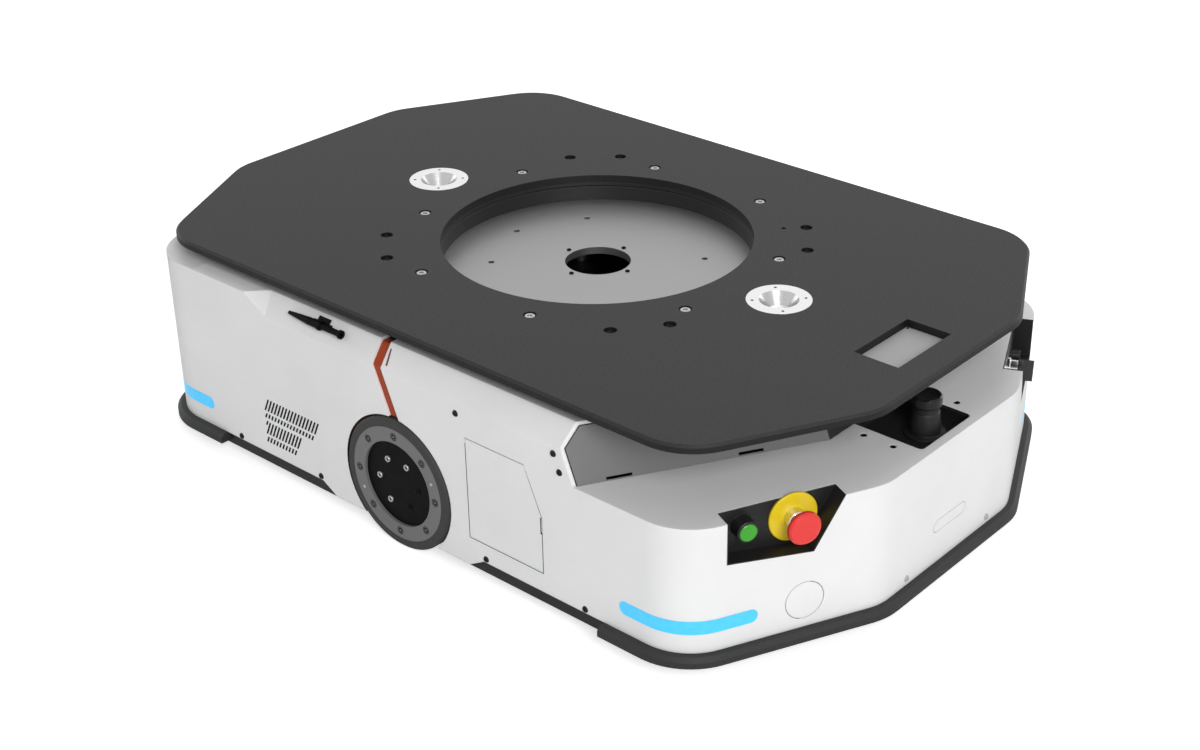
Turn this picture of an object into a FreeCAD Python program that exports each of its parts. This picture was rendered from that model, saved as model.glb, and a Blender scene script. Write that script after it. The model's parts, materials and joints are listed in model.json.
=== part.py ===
"""Autonomous mobile robot of the low lifting kind: a flat drive unit that carries loads on a
turntable plate. Millimetres, +Z up, +X to the end with the emergency stop, origin on the floor
under the middle of the machine."""

import FreeCAD, Part

import math
import os

import Sketcher

Vector = FreeCAD.Vector
Rotation = FreeCAD.Rotation
Placement = FreeCAD.Placement

# Driving dimensions. Each becomes a named cell of the sheet.
DIMENSIONS = {
    # covers: an eight-sided outline with rounded corners
    "body_half_length": 547.0,
    "body_half_width": 364.0,
    "body_end_half": 137.0,
    "body_side_half": 440.0,
    "body_corner": 75.0,
    "cover_wall": 4.0,
    "cover_bottom": 37.0,
    "arch_bottom": 23.0,
    "arch_flat_half": 118.0,
    "arch_ramp_half": 142.0,
    "front_deck": 197.0,
    "rear_deck": 262.0,
    "body_top": 264.0,
    "crease_height": 240.0,
    "shoulder_inset": 23.0,
    "flange_half": 318.0,
    "rear_deck_end": 365.0,
    "tower_end": 265.0,
    "tower_foot": 225.0,
    # raked bulkhead behind the front deck
    "rake": 0.4,
    "foot_side": 287.0,
    "foot_middle": 441.0,
    "foot_half": 99.5,
    "sheet": 2.0,
    # gap in the side covers that shows the trim
    "trim_width": 17.0,
    "trim_low": 9.0,
    "trim_crease": -16.0,
    "trim_high": -22.0,
    "trim_depth": 6.0,
    # lifted plate
    "plate_half_length": 538.0,
    "plate_half_width": 352.0,
    "plate_end_half": 146.0,
    "plate_side_half": 429.0,
    "plate_corner": 78.0,
    "plate_top": 290.0,
    "plate_thickness": 10.0,
    "plate_bevel": 3.0,
    "bore_radius": 200.5,
    "screw_circle": 240.0,
    "payload_circle": 270.0,
    "counterbore_radius": 8.0,
    "counterbore_depth": 5.0,
    "bolt_hole_radius": 4.5,
    "cup_place": 291.0,
    "cup_radius": 40.0,
    "cup_cone_radius": 24.5,
    "cup_floor_radius": 14.0,
    "cup_depth": 15.0,
    "window_near": 438.0,
    "window_far": 498.0,
    "window_half": 54.0,
    # slewing ring and lift
    "ring_gap": 0.5,
    "ring_split": 225.0,
    "ring_outer": 243.75,
    "teeth": 100,
    "gear_module": 5.0,
    "pinion_teeth": 18,
    "table_radius": 235.0,
    "table_top": 254.0,
    "table_thickness": 10.0,
    "eye_radius": 42.5,
    "eye_screw_circle": 50.5,
    "post_x": 150.0,
    "post_y": 130.0,
    "post_radius": 12.0,
    "screw_place": 195.0,
    "screw_radius": 10.0,
    "fit": 0.05,
    "bridge_height": 150.0,
    "bush_radius": 18.0,
    "nut_radius": 22.0,
    "pinion_place": 295.0,
    "shaft_radius": 8.0,
    "panel_hole": 262.0,
    "slot_end": 351.0,
    "slot_half": 56.0,
    # drive wheels
    "wheel_radius": 88.0,
    "wheel_face": 366.0,
    "wheel_width": 46.0,
    "rim_radius": 75.5,
    "hub_radius": 56.3,
    "hub_recess": 4.0,
    "arch_radius": 90.5,
    "hub_bolt_circle": 32.5,
    "rim_bolt_circle": 65.5,
    "axle_radius": 15.0,
    "motor_radius": 45.0,
    "gearhead_radius": 58.0,
    # swivel castors
    "castor_x": 405.0,
    "castor_y": 235.0,
    "castor_radius": 38.0,
    "castor_width": 30.0,
    "castor_trail": 24.0,
    "castor_top": 112.0,
    "castor_opening": 70.0,
    "castor_reach": 75.0,
    "castor_leg": 6.0,
    "stem_radius": 12.0,
    "pin_castor": 6.0,
    # chassis
    "pan_bottom": 19.0,
    "pan_inset": 4.0,
    "pan_wall_top": 45.0,
    "pan_sheet": 3.0,
    "liner_bottom": 61.0,
    # bumpers
    "bumper_reach": 12.0,
    "bumper_height": 12.5,
    "bumper_bevel": 5.0,
    "bumper_end": 330.0,
    # control pockets in the slanted front faces
    "pocket_depth": 23.0,
    "pocket_far": 196.0,
    "pocket_near_low": 89.6,
    "pocket_near_high": 52.6,
    "pocket_low_far": 145.4,
    "pocket_low_near": 134.1,
    "stop_along": 105.5,
    "stop_height": 171.0,
    "barrel_radius": 11.0,
    "stop_stem": 8.0,
    "start_along": 168.0,
    "start_height": 176.0,
    # rangefinder
    "lidar_x": 505.0,
    "lidar_radius": 18.0,
    "lidar_top": 237.0,
    "lidar_floor": 185.0,
    "well_near": 443.0,
    "well_far": 535.0,
    "well_half": 52.0,
    # light strips
    "light_low": 61.5,
    "light_high": 79.0,
    "light_depth": 1.6,
    "light_side_end": 353.0,
    "light_face_end": 157.0,
    "light_end_radius": 8.75,
    "tray_wall": 1.2,
    # small openings in the covers
    "top_slope": 0.1,
    "vent_lean": 0.47,
    "vent_pitch": 5.95,
    "vent_width": 3.0,
    "plug_gap": 0.6,
    "round_plug_radius": 23.6,
    "long_plug_length": 67.0,
    "long_plug_height": 15.0,
    "long_plug_place": 87.5,
    "door_near": 120.0,
    "door_far": 239.0,
    "door_low": 62.0,
    "door_high": 197.0,
    "door_notch": 137.5,
    "door_step": 213.0,
    "door_gap": 1.0,
    "hinge_inset": 3.0,
    "pin_radius": 1.2,
    "pin_length": 6.0,
    "shank_radius": 2.0,
}

document = FreeCAD.newDocument("mobile_robot")
sheet = document.addObject("Spreadsheet::Sheet", "sizes")
for row, (alias, value) in enumerate(DIMENSIONS.items(), start=1):
    sheet.set(f"A{row}", alias)
    sheet.set(f"B{row}", str(value))
    sheet.setAlias(f"B{row}", alias)
document.recompute()


class Size:
    """A length together with the sheet expression that gives it."""

    def __init__(self, value, text):
        self.value = float(value)
        self.text = text

    def __add__(self, other):
        other = as_size(other)
        return Size(self.value + other.value, f"({self.text} + {other.text})")

    def __sub__(self, other):
        other = as_size(other)
        return Size(self.value - other.value, f"({self.text} - {other.text})")

    def __mul__(self, other):
        other = as_size(other)
        return Size(self.value * other.value, f"({self.text} * {other.text})")

    def __truediv__(self, other):
        other = as_size(other)
        return Size(self.value / other.value, f"({self.text} / {other.text})")

    def __neg__(self):
        return Size(-self.value, f"(-1 * {self.text})")

    def __radd__(self, other):
        return as_size(other) + self

    def __rsub__(self, other):
        return as_size(other) - self

    def __rmul__(self, other):
        return as_size(other) * self


def as_size(value):
    return value if isinstance(value, Size) else Size(value, f"{float(value):.6g}")


def half_turn_tangent(rise, run):
    """Tangent of half the angle whose own tangent is rise / run."""
    value = math.tan(math.atan(rise.value / run.value) / 2)
    return Size(value, f"tan(atan({rise.text} / {run.text}) / 2)")


class Sizes:
    """Every cell of the sheet as an attribute."""

    def __getattr__(self, alias):
        return Size(DIMENSIONS[alias], f"sizes.{alias}")


S = Sizes()


def bind(target, name, value):
    """Drive a property by its sheet expression."""
    value = as_size(value)
    if "sizes." in value.text:
        target.setExpression(name, value.text)
    elif "." not in name:
        setattr(target, name, value.value)


# ---------------------------------------------------------------- sketches and features


def new_body(label):
    body = document.addObject("PartDesign::Body", label)
    body.Label = label
    return body


def new_sketch(body, plane="XY", offset=0.0):
    """A sketch on one of the body's own planes, moved along that plane's normal."""
    sketch = body.newObject("Sketcher::SketchObject", "sketch")
    role = f"{plane}_Plane"
    support = next(item for item in body.Origin.OriginFeatures if item.Role == role)
    sketch.AttachmentSupport = [(support, "")]
    sketch.MapMode = "FlatFace"
    offset = as_size(offset)
    sketch.AttachmentOffset = Placement(Vector(0, 0, offset.value), Rotation())
    if "sizes." in offset.text:
        sketch.setExpression("AttachmentOffset.Base.z", offset.text)
    return sketch


def fix_point(sketch, geometry, point, x, y):
    """Hold a point of the sketch at x, y from the sketch's origin."""
    for kind, axis, value in (("DistanceX", -2, as_size(x)), ("DistanceY", -1, as_size(y))):
        if value.value == 0.0:
            sketch.addConstraint(Sketcher.Constraint("PointOnObject", geometry, point, axis))
            continue
        row = sketch.addConstraint(Sketcher.Constraint(kind, -1, 1, geometry, point, value.value))
        if "sizes." in value.text:
            sketch.setExpression(f"Constraints[{row}]", value.text)


def polygon(sketch, points):
    first = sketch.GeometryCount
    count = len(points)
    corners = [Vector(as_size(x).value, as_size(y).value, 0) for x, y in points]
    for index in range(count):
        sketch.addGeometry(Part.LineSegment(corners[index], corners[(index + 1) % count]))
    for index in range(count):
        following = first + (index + 1) % count
        sketch.addConstraint(Sketcher.Constraint("Coincident", first + index, 2, following, 1))
    for index, (x, y) in enumerate(points):
        fix_point(sketch, first + index, 1, x, y)


def circle(sketch, x, y, radius):
    x, y, radius = as_size(x), as_size(y), as_size(radius)
    row = sketch.addGeometry(Part.Circle(Vector(x.value, y.value, 0), Vector(0, 0, 1), radius.value))
    if x.value == 0.0 and y.value == 0.0:
        sketch.addConstraint(Sketcher.Constraint("Coincident", row, 3, -1, 1))
    else:
        fix_point(sketch, row, 3, x, y)
    limit = sketch.addConstraint(Sketcher.Constraint("Radius", row, radius.value))
    if "sizes." in radius.text:
        sketch.setExpression(f"Constraints[{limit}]", radius.text)


def pad(body, sketch, length, symmetric=False, reverse=False):
    feature = body.newObject("PartDesign::Pad", "pad")
    feature.Profile = (sketch, [])
    bind(feature, "Length", length)
    if symmetric:
        feature.SideType = "Symmetric"
    feature.Reversed = reverse
    return feature


def pocket(body, sketch, length=None, symmetric=False, reverse=False):
    """A pocket: through everything when no length is given."""
    feature = body.newObject("PartDesign::Pocket", "pocket")
    feature.Profile = (sketch, [])
    if length is None:
        feature.Type = "ThroughAll"
    else:
        bind(feature, "Length", length)
    if symmetric:
        feature.SideType = "Symmetric"
    feature.Reversed = reverse
    return feature


def edge_names(shape, test):
    return [f"Edge{row}" for row, edge in enumerate(shape.Edges, start=1) if test(edge)]


def dress(body, kind, test, amount):
    """Round or bevel every edge of the body that passes the test."""
    document.recompute()
    base = body.Tip
    names = edge_names(base.Shape, test)
    if not names:
        raise ValueError(f"no edges to dress on {body.Label}")
    feature = body.newObject(f"PartDesign::{kind}", kind.lower())
    feature.Base = (base, names)
    bind(feature, "Radius" if kind == "Fillet" else "Size", amount)
    return feature


def is_upright(edge):
    ends = [vertex.Point for vertex in edge.Vertexes]
    if len(ends) != 2:
        return False
    run = ends[1] - ends[0]
    return math.hypot(run.x, run.y) < 1e-4 and abs(run.z) > 1e-3


def lies_at(height):
    height = as_size(height).value
    return lambda edge: all(abs(vertex.Z - height) < 1e-4 for vertex in edge.Vertexes)


def prism(label, points, low, height, plane="XY", corner=None, holes=()):
    """A flat outline, given on a plane, made into a block. On XZ the block grows along -Y."""
    body = new_body(label)
    sketch = new_sketch(body, plane, low)
    polygon(sketch, points)
    for x, y, radius in holes:
        circle(sketch, x, y, radius)
    pad(body, sketch, height)
    if corner is not None:
        dress(body, "Fillet", is_upright, corner)
    return body


def turned(label, profile):
    """A part turned about its own Z axis. The profile is a list of radius, height."""
    body = new_body(label)
    sketch = new_sketch(body, "XZ")
    polygon(sketch, profile)
    feature = body.newObject("PartDesign::Revolution", "turn")
    feature.Profile = (sketch, [])
    feature.ReferenceAxis = (sketch, ["V_Axis"])
    feature.Angle = 360.0
    return body


def place(item, x=0.0, y=0.0, z=0.0, rotation=None):
    """Put a part at x, y, z, driven by the sheet."""
    x, y, z = as_size(x), as_size(y), as_size(z)
    item.Placement = Placement(Vector(x.value, y.value, z.value), rotation or Rotation())
    for axis, value in (("x", x), ("y", y), ("z", z)):
        if "sizes." in value.text:
            item.setExpression(f"Placement.Base.{axis}", value.text)
    return item


def box(low, high):
    """A plain block between two corners."""
    item = document.addObject("Part::Box", "block")
    low = [as_size(value) for value in low]
    high = [as_size(value) for value in high]
    for name, start, end in zip(("Length", "Width", "Height"), low, high):
        bind(item, name, end - start)
    return place(item, *low)


def rod(x, y, z, radius, length, rotation=None):
    """A plain cylinder that starts at x, y, z."""
    item = document.addObject("Part::Cylinder", "cylinder")
    bind(item, "Radius", radius)
    bind(item, "Height", length)
    return place(item, x, y, z, rotation)


def cut(label, base, *tools):
    result = base
    for tool in tools:
        step = document.addObject("Part::Cut", "cut")
        step.Base = result
        step.Tool = tool
        result = step
    result.Label = label
    return result


def fuse(label, *items):
    result = document.addObject("Part::MultiFuse", "fuse")
    result.Shapes = list(items)
    result.Refine = True
    result.Label = label
    return result


def common(label, one, other):
    result = document.addObject("Part::MultiCommon", "common")
    result.Shapes = [one, other]
    result.Label = label
    return result


def mirrored(item, normal):
    result = document.addObject("Part::Mirroring", "mirror")
    result.Source = item
    result.Base = Vector(0, 0, 0)
    result.Normal = normal
    return result


def group(label, *items):
    """Separate solids that make one node."""
    result = document.addObject("Part::Compound", "group")
    result.Links = list(items)
    result.Label = label
    return result


def repeated(label, item, placements):
    """Copies of one part as a node of separate solids."""
    document.recompute()
    copies = []
    for placement in placements:
        copy = item.Shape.copy()
        copy.Placement = placement.multiply(item.Shape.Placement)
        copies.append(copy)
    result = document.addObject("Part::Feature", label)
    result.Label = label
    result.Shape = Part.makeCompound(copies)
    return result


# Directions that turned parts are pointed in.
TO_RIGHT = Rotation(Vector(0, 0, 1), Vector(0, -1, 0))
TO_LEFT = Rotation(Vector(0, 0, 1), Vector(0, 1, 0))
TO_FRONT = Rotation(Vector(0, 0, 1), Vector(1, 0, 0))

END_MITRE = half_turn_tangent(
    S.body_half_length - S.body_side_half, S.body_half_width - S.body_end_half
)
SIDE_MITRE = half_turn_tangent(
    S.body_half_width - S.body_end_half, S.body_half_length - S.body_side_half
)


def outline(inset=0.0, back=None):
    """The machine's eight-sided outline, moved inwards. With back given, only the part of it
    that lies in front of x = back."""
    length = S.body_half_length - inset
    width = S.body_half_width - inset
    end = S.body_end_half - END_MITRE * inset
    side = S.body_side_half - SIDE_MITRE * inset
    front = [(side, -width), (length, -end), (length, end), (side, width)]
    if back is not None:
        return [(back, -width)] + front + [(back, width)]
    rear = [(-x, -y) for x, y in front]
    return front + rear


def away_from_cut(x):
    """Upright edges at the outline's own corners, not those at a straight cut."""
    limit = as_size(x).value
    return lambda edge: is_upright(edge) and edge.Vertexes[0].X > limit + 1


# ---------------------------------------------------------------- covers


def deck_wedge(low, shift, grow):
    """The space over the front deck, raked back at the bulkheads."""
    reach = 900.0
    body = new_body("deck_space")
    sketch = new_sketch(body, "XY", low)
    lead = (low - S.front_deck) * S.rake
    wide = S.body_half_width + grow
    slope = (S.foot_middle - S.foot_side) / (S.body_half_width - S.foot_half)
    side = S.foot_side - lead + shift - slope * grow
    middle = S.foot_middle - lead + shift
    half = S.foot_half
    polygon(
        sketch,
        [(side, -wide), (middle, -half), (middle, half), (side, wide), (reach, wide), (reach, -wide)],
    )
    feature = pad(body, sketch, 100.0)
    feature.UseCustomVector = True
    feature.Direction = Vector(-S.rake.value, 0, 1)
    feature.AlongSketchNormal = True
    return body


def shoulder_cutter(inset):
    """The slope along the right-hand side between crease and top, with its slanted rear end."""
    wall = S.body_half_width - inset
    crease = S.crease_height - inset * 0.4
    top = S.body_top - inset
    inner = S.body_half_width - S.shoulder_inset - inset * 0.4
    rise = (top - crease) / (wall - inner)
    body = prism(
        "shoulder_space",
        [
            (-wall - 30, crease - rise * 30),
            (-inner + 30, top + rise * 30),
            (-wall - 30, top + rise * 30),
        ],
        -S.tower_end,
        S.tower_end * 3,
        plane="YZ",
    )
    foot = Vector(-S.tower_foot.value, -wall.value, crease.value)
    head = Vector(-S.tower_end.value, -wall.value, (S.rear_deck - inset).value)
    crest = Vector(-S.tower_foot.value - 11.0, -inner.value, top.value)
    normal = (head - foot).cross(crest - foot).normalize()
    if normal.x > 0:
        normal = normal * -1
    stop = document.addObject("Part::Box", "facet")
    stop.Length, stop.Width, stop.Height = 400.0, 400.0, 200.0
    turn = Rotation(Vector(0, 0, 1), normal)
    stop.Placement = Placement(foot - turn.multVec(Vector(200, 200, 0)), turn)
    return cut("shoulder_space", body, stop)


def cover_blank(label, inset, back):
    """The full-height form of a cover that ends at x = back."""
    body = new_body(label)
    base = S.arch_bottom - (0.0 if as_size(inset).value == 0 else 20.0)
    sketch = new_sketch(body, "XY", base)
    polygon(sketch, outline(inset, back))
    pad(body, sketch, S.body_top - inset - base)
    dress(body, "Fillet", away_from_cut(back), S.body_corner - inset)
    return body


def front_form(inset, shift):
    blank = cover_blank("front_blank", inset, -S.trim_width * 3)
    right = shoulder_cutter(inset)
    left = mirrored(shoulder_cutter(inset), Vector(0, 1, 0))
    wedge = deck_wedge(S.front_deck - inset, shift, 20.0)
    return cut("front_form", blank, right, left, wedge)


SIDE_SCREWS = [
    (-301.0, 42.0),
    (-145.0, 42.0),
    (146.0, 42.0),
    (302.0, 42.0),
    (107.5, 224.0),
    (259.5, 229.0),
    (268.0, 208.0),
]
NOSE_SCREW = (86.0, 46.0)


def screw_shanks(sign):
    """The button screws' shanks through both side walls and, at the front, the nose."""
    start = S.body_half_width - S.cover_wall
    radius, wall = S.shank_radius, S.cover_wall
    shanks = [
        rod(x, side * start, z, radius, wall, TO_LEFT if side > 0 else TO_RIGHT)
        for x, z in SIDE_SCREWS
        for side in (-1, 1)
        if x * sign > 0
    ]
    if sign > 0:
        nose = S.body_half_length - wall
        shanks += [
            rod(nose, side * NOSE_SCREW[0], NOSE_SCREW[1], radius, wall, TO_FRONT)
            for side in (-1, 1)
        ]
    return group("screw_shanks", *shanks)


def through_sides(label, points, width=900.0):
    """A cutter that runs across the machine, from an outline in X and Z."""
    body = new_body(label)
    sketch = new_sketch(body, "XZ")
    polygon(sketch, points)
    pad(body, sketch, width, symmetric=True)
    return body


def lower_trim(sign):
    """Everything below the covers' lower edge on one side of the wheel."""
    far = 700.0
    return through_sides(
        "below_cover",
        [
            (sign * S.arch_flat_half, S.arch_bottom - 30),
            (sign * S.arch_flat_half, S.arch_bottom),
            (sign * S.arch_ramp_half, S.cover_bottom),
            (sign * far, S.cover_bottom),
            (sign * far, S.arch_bottom - 30),
        ],
    )


def arch_cutter():
    tool = document.addObject("Part::Cylinder", "arch")
    bind(tool, "Radius", S.arch_radius)
    tool.Height = 900.0
    return place(tool, 0.0, 450.0, S.wheel_radius, TO_RIGHT)


def trim_edge(shift):
    """The slanted edge of a cover beside the trim, from the arch up over the shoulder."""
    high = S.body_top + 10
    return [
        (S.trim_low + shift, S.arch_bottom - 30),
        (S.trim_low + shift, S.wheel_radius + S.arch_radius),
        (S.trim_crease + shift, S.crease_height),
        (S.trim_high + shift, high),
    ]


CHAMFER = Vector(
    -(S.body_half_length - S.body_side_half).value, -(S.body_half_width - S.body_end_half).value, 0
).normalize()
CHAMFER_OUT = Vector(-CHAMFER.y, CHAMFER.x, 0)
FACE_TURN = Rotation(CHAMFER, CHAMFER_OUT, Vector(0, 0, 1), "XZY")


def face_point(along, depth):
    """A point of the right slanted face: along it from the front corner, below its surface."""
    along, depth = as_size(along), as_size(depth)
    x = S.body_half_length + along * CHAMFER.x - depth * CHAMFER_OUT.x
    y = -S.body_end_half + along * CHAMFER.y - depth * CHAMFER_OUT.y
    return x, y


def on_face(item, along, depth, height, rotation=None):
    """Put a part on the right slanted face, with its own Z axis pointing out of the face."""
    x, y = face_point(along, depth)
    return place(item, x, y, height, rotation or Rotation(Vector(0, 0, 1), CHAMFER_OUT))


def pocket_solid(inset, reach):
    """The control pocket's space as a block set into the right slanted face."""
    body = new_body("pocket_space")
    sketch = new_sketch(body, "XZ")
    near = inset * 1.2
    polygon(
        sketch,
        [
            (S.pocket_far - inset, S.pocket_low_far + inset),
            (S.pocket_near_low + near, S.pocket_low_near + inset),
            (S.pocket_near_high + near, S.front_deck + inset * 0),
            (S.pocket_near_high + near, S.front_deck + 20),
            (S.pocket_far - inset, S.front_deck + 20),
        ],
    )
    pad(body, sketch, S.pocket_depth + S.tray_wall - inset + reach)
    return on_face(body, 0.0, -reach, 0.0, FACE_TURN)


def light_band(sign_x, sign_y, outer, inner, grow):
    """A corner light strip: a thin band around the corner with round ends."""
    low = S.light_low - grow
    height = S.light_high - S.light_low + grow * 2
    middle = (S.light_low + S.light_high) / 2
    end = height / 2
    shell = prism("band", outline(outer, S.flange_half), low, height)
    dress(shell, "Fillet", away_from_cut(S.flange_half), S.body_corner - outer)
    core = prism("band_core", outline(inner, S.flange_half - 5), low - 5, height + 10)
    dress(core, "Fillet", away_from_cut(S.flange_half - 5), S.body_corner - inner)
    side = S.light_side_end + S.light_end_radius
    along = S.light_face_end + S.light_end_radius
    outside, inside = face_point(along, -40.0), face_point(along, 40.0)
    wide = S.body_half_width
    sector = prism(
        "sector",
        [(side, -wide + 45), (side, -wide - 40), (480.0, -wide - 40), outside, inside],
        low,
        height,
    )
    side_end = rod(side, -wide + 20, middle, end, 40.0, TO_RIGHT)
    face_end = on_face(rod(0, 0, 0, end, 40.0), along, 20.0, middle)
    mask = fuse("mask", sector, side_end, face_end)
    strip = common("strip", cut("band", shell, core), mask)
    if sign_x < 0:
        strip = mirrored(strip, Vector(1, 0, 0))
    if sign_y > 0:
        strip = mirrored(strip, Vector(0, 1, 0))
    return strip


def make_front_cover():
    """The one-piece front moulding: both sides from the trim forwards, shoulders, deck and nose."""
    shell = cut("shell", front_form(0.0, 0.0), front_form(S.cover_wall, 0.5))
    back = -S.trim_width * 4
    rim = 20.0
    lead = (S.body_top - S.front_deck) * S.rake
    roof = prism(
        "roof_opening",
        [
            (back, -S.flange_half),
            (S.foot_side - lead - rim + 27, -S.flange_half),
            (S.foot_middle - lead - rim, -S.foot_half),
            (S.foot_middle - lead - rim, S.foot_half),
            (S.foot_side - lead - rim + 27, S.flange_half),
            (back, S.flange_half),
        ],
        S.body_top - 20,
        30.0,
    )
    behind = through_sides(
        "behind_cover", trim_edge(0.0) + [(back, S.body_top + 10), (back, S.arch_bottom - 30)]
    )
    well = prism(
        "well_opening",
        [
            (S.well_near - 40, -S.well_half),
            (S.well_far, -S.well_half),
            (S.well_far, S.well_half),
            (S.well_near - 40, S.well_half),
        ],
        S.front_deck - 12,
        20.0,
        corner=5.0,
    )
    door = through_panel(0.0)
    plugs = plug_solids(S.plug_gap, 10.0)
    pockets = [pocket_solid(0.0, 10.0), mirrored(pocket_solid(0.0, 10.0), Vector(0, 1, 0))]
    bands = [light_band(1, side, -5.0, S.light_depth, 0.0) for side in (-1, 1)]
    deck_holes = [
        rod(x, y, S.front_deck - 10, 4.0, 20.0) for x in (465.0, 505.5) for y in (-66.5, 66.5)
    ]
    return cut(
        "front_cover",
        shell,
        roof,
        behind,
        lower_trim(1),
        arch_cutter(),
        well,
        door,
        hinge_sockets(),
        screw_shanks(1),
        *plugs,
        *pockets,
        *bands,
        *deck_holes,
    )


def door_points(gap):
    """The access door's outline in X and Z, with its upper front corner cut off."""
    near, far = S.door_near + gap, S.door_far - gap
    low, high = S.door_low + gap, S.door_high - gap
    return [(near, low), (far, low), (far, S.door_notch), (S.door_step, high), (near, high)]


def through_panel(gap):
    """The door's outline through the right side wall."""
    body = new_body("door_space")
    sketch = new_sketch(body, "XZ", S.body_half_width - S.cover_wall * 3)
    polygon(sketch, door_points(gap))
    pad(body, sketch, S.cover_wall * 5)
    return body


def plug_solids(gap, reach):
    """Round plugs in both slanted faces and a long one in the nose, each reaching out."""
    radius = S.round_plug_radius + gap
    depth = S.cover_wall + reach
    right = on_face(rod(0, 0, 0, radius, depth), 99.0, S.cover_wall, 72.5)
    left = mirrored(
        on_face(rod(0, 0, 0, radius, depth), 99.0, S.cover_wall, 72.5), Vector(0, 1, 0)
    )
    end = S.long_plug_height / 2
    half = S.long_plug_length / 2 - end
    start = S.body_half_length - S.cover_wall
    middle = box(
        (start, -half, S.long_plug_place - end - gap),
        (start + depth, half, S.long_plug_place + end + gap),
    )
    ends = [
        rod(start, side * half, S.long_plug_place, end + gap, depth, TO_FRONT) for side in (-1, 1)
    ]
    return [right, left, fuse("long_plug", middle, *ends)]


def rear_form(inset):
    """The rear cover's form: full height, a deck at the back and shoulders near the wheels."""
    blank = mirrored(cover_blank("rear_blank", inset, -S.trim_width * 3), Vector(1, 0, 0))
    right = shoulder_cutter(inset)
    left = mirrored(shoulder_cutter(inset), Vector(0, 1, 0))
    deck = box((-700.0, -500.0, S.rear_deck - inset), (-S.rear_deck_end, 500.0, S.body_top + 10))
    slopes = []
    wall = S.body_half_width
    for side in (-1, 1):
        slopes.append(
            prism(
                "top_slope",
                [
                    (side * (wall + 20), S.rear_deck - inset - S.top_slope * 20),
                    (side * (wall - 25), S.rear_deck - inset + S.top_slope * 25),
                    (side * (wall + 20), S.body_top + 20),
                ],
                -S.rear_deck_end - 10,
                S.rear_deck_end - S.tower_foot,
                plane="YZ",
            )
        )
    return cut("rear_form", blank, right, left, deck, *slopes)


def vent_slots():
    """Four rows of slanted slots through the right rear wall."""
    lean = S.vent_lean.value
    slots = []
    rows = [(-241.1, 109.5, 18.0, 17), (-244.1, 93.3, 6.8, 16), (-244.0, 82.3, 6.7, 1),
            (-242.0, 75.2, 18.6, 11), (-245.2, 58.0, 8.0, 10)]
    for start, middle, height, count in rows:
        rise = height / 2
        slot = through_sides_slot(start, middle, rise, lean)
        pitch = S.vent_pitch.value
        placements = [Placement(Vector(pitch * step, 0, 0), Rotation()) for step in range(count)]
        slots.append(repeated("vent_row", slot, placements))
    return slots


def through_sides_slot(start, middle, rise, lean):
    half = S.vent_width / 2
    body = new_body("slot")
    sketch = new_sketch(body, "XZ", S.body_half_width - 10)
    polygon(
        sketch,
        [
            (start - rise * lean - half, middle - rise),
            (start - rise * lean + half, middle - rise),
            (start + rise * lean + half, middle + rise),
            (start + rise * lean - half, middle + rise),
        ],
    )
    pad(body, sketch, 20.0)
    return body


def make_rear_cover():
    shell = cut("shell", rear_form(0.0), rear_form(S.cover_wall))
    front = S.trim_width * 4
    roof = box(
        (-S.rear_deck_end + 5, -S.flange_half, S.body_top - 20),
        (front, S.flange_half, S.body_top + 10),
    )
    ahead = through_sides(
        "ahead_of_cover",
        trim_edge(-S.trim_width) + [(front, S.body_top + 10), (front, S.arch_bottom - 30)],
    )
    bands = [light_band(-1, side, -5.0, S.light_depth, 0.0) for side in (-1, 1)]
    return cut(
        "rear_cover",
        shell,
        roof,
        ahead,
        lower_trim(-1),
        arch_cutter(),
        screw_shanks(-1),
        *bands,
        *vent_slots(),
    )


# ---------------------------------------------------------------- panels that close the covers


def raked_slab(low, high, near, thick):
    """A sheet on the bulkheads' raked plane, cut from between two deck spaces."""
    rise = S.front_deck - low
    behind = deck_wedge(low, near - thick, 0.0)
    ahead = deck_wedge(low, near, 10.0)
    band = box((200.0, -400.0, low), (500.0, 400.0, high))
    return common("slab", cut("slab", behind, ahead), band), rise


def make_bulkheads():
    """Two slanted side panels and a middle one, held inside the cover's edge."""
    slab, _ = raked_slab(S.front_deck - S.cover_wall, S.body_top - 1, 0.5, 2.5)
    inside = S.cover_wall + 0.8
    blank = cover_blank("panel_limit", inside, 0.0)
    right = shoulder_cutter(inside)
    left = mirrored(shoulder_cutter(inside), Vector(0, 1, 0))
    whole = common("whole", slab, cut("panel_limit", blank, right, left))
    half = S.foot_half
    slots = []
    for x, y, length in ((311.5, 315.5, 30.0), (393.0, 182.5, 30.0)):
        for side in (-1, 1):
            slot = box((-8.0, -length / 2, 0.0), (8.0, length / 2, 3.0))
            turn = Rotation(Vector(0, 0, 1), side * 30.0)
            corner = turn.multVec(Vector(-8.0, -length / 2, 0))
            slot.Placement = Placement(Vector(x, side * y, 198.0) + corner, turn)
            slots.append(slot)
    sides = cut(
        "bulkhead_panels", whole, box((200.0, -half, 150.0), (600.0, half, 300.0)), *slots
    )
    middle = common("middle_bulkhead", whole, box((200.0, -half, 150.0), (600.0, half, 300.0)))
    return sides, middle


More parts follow.
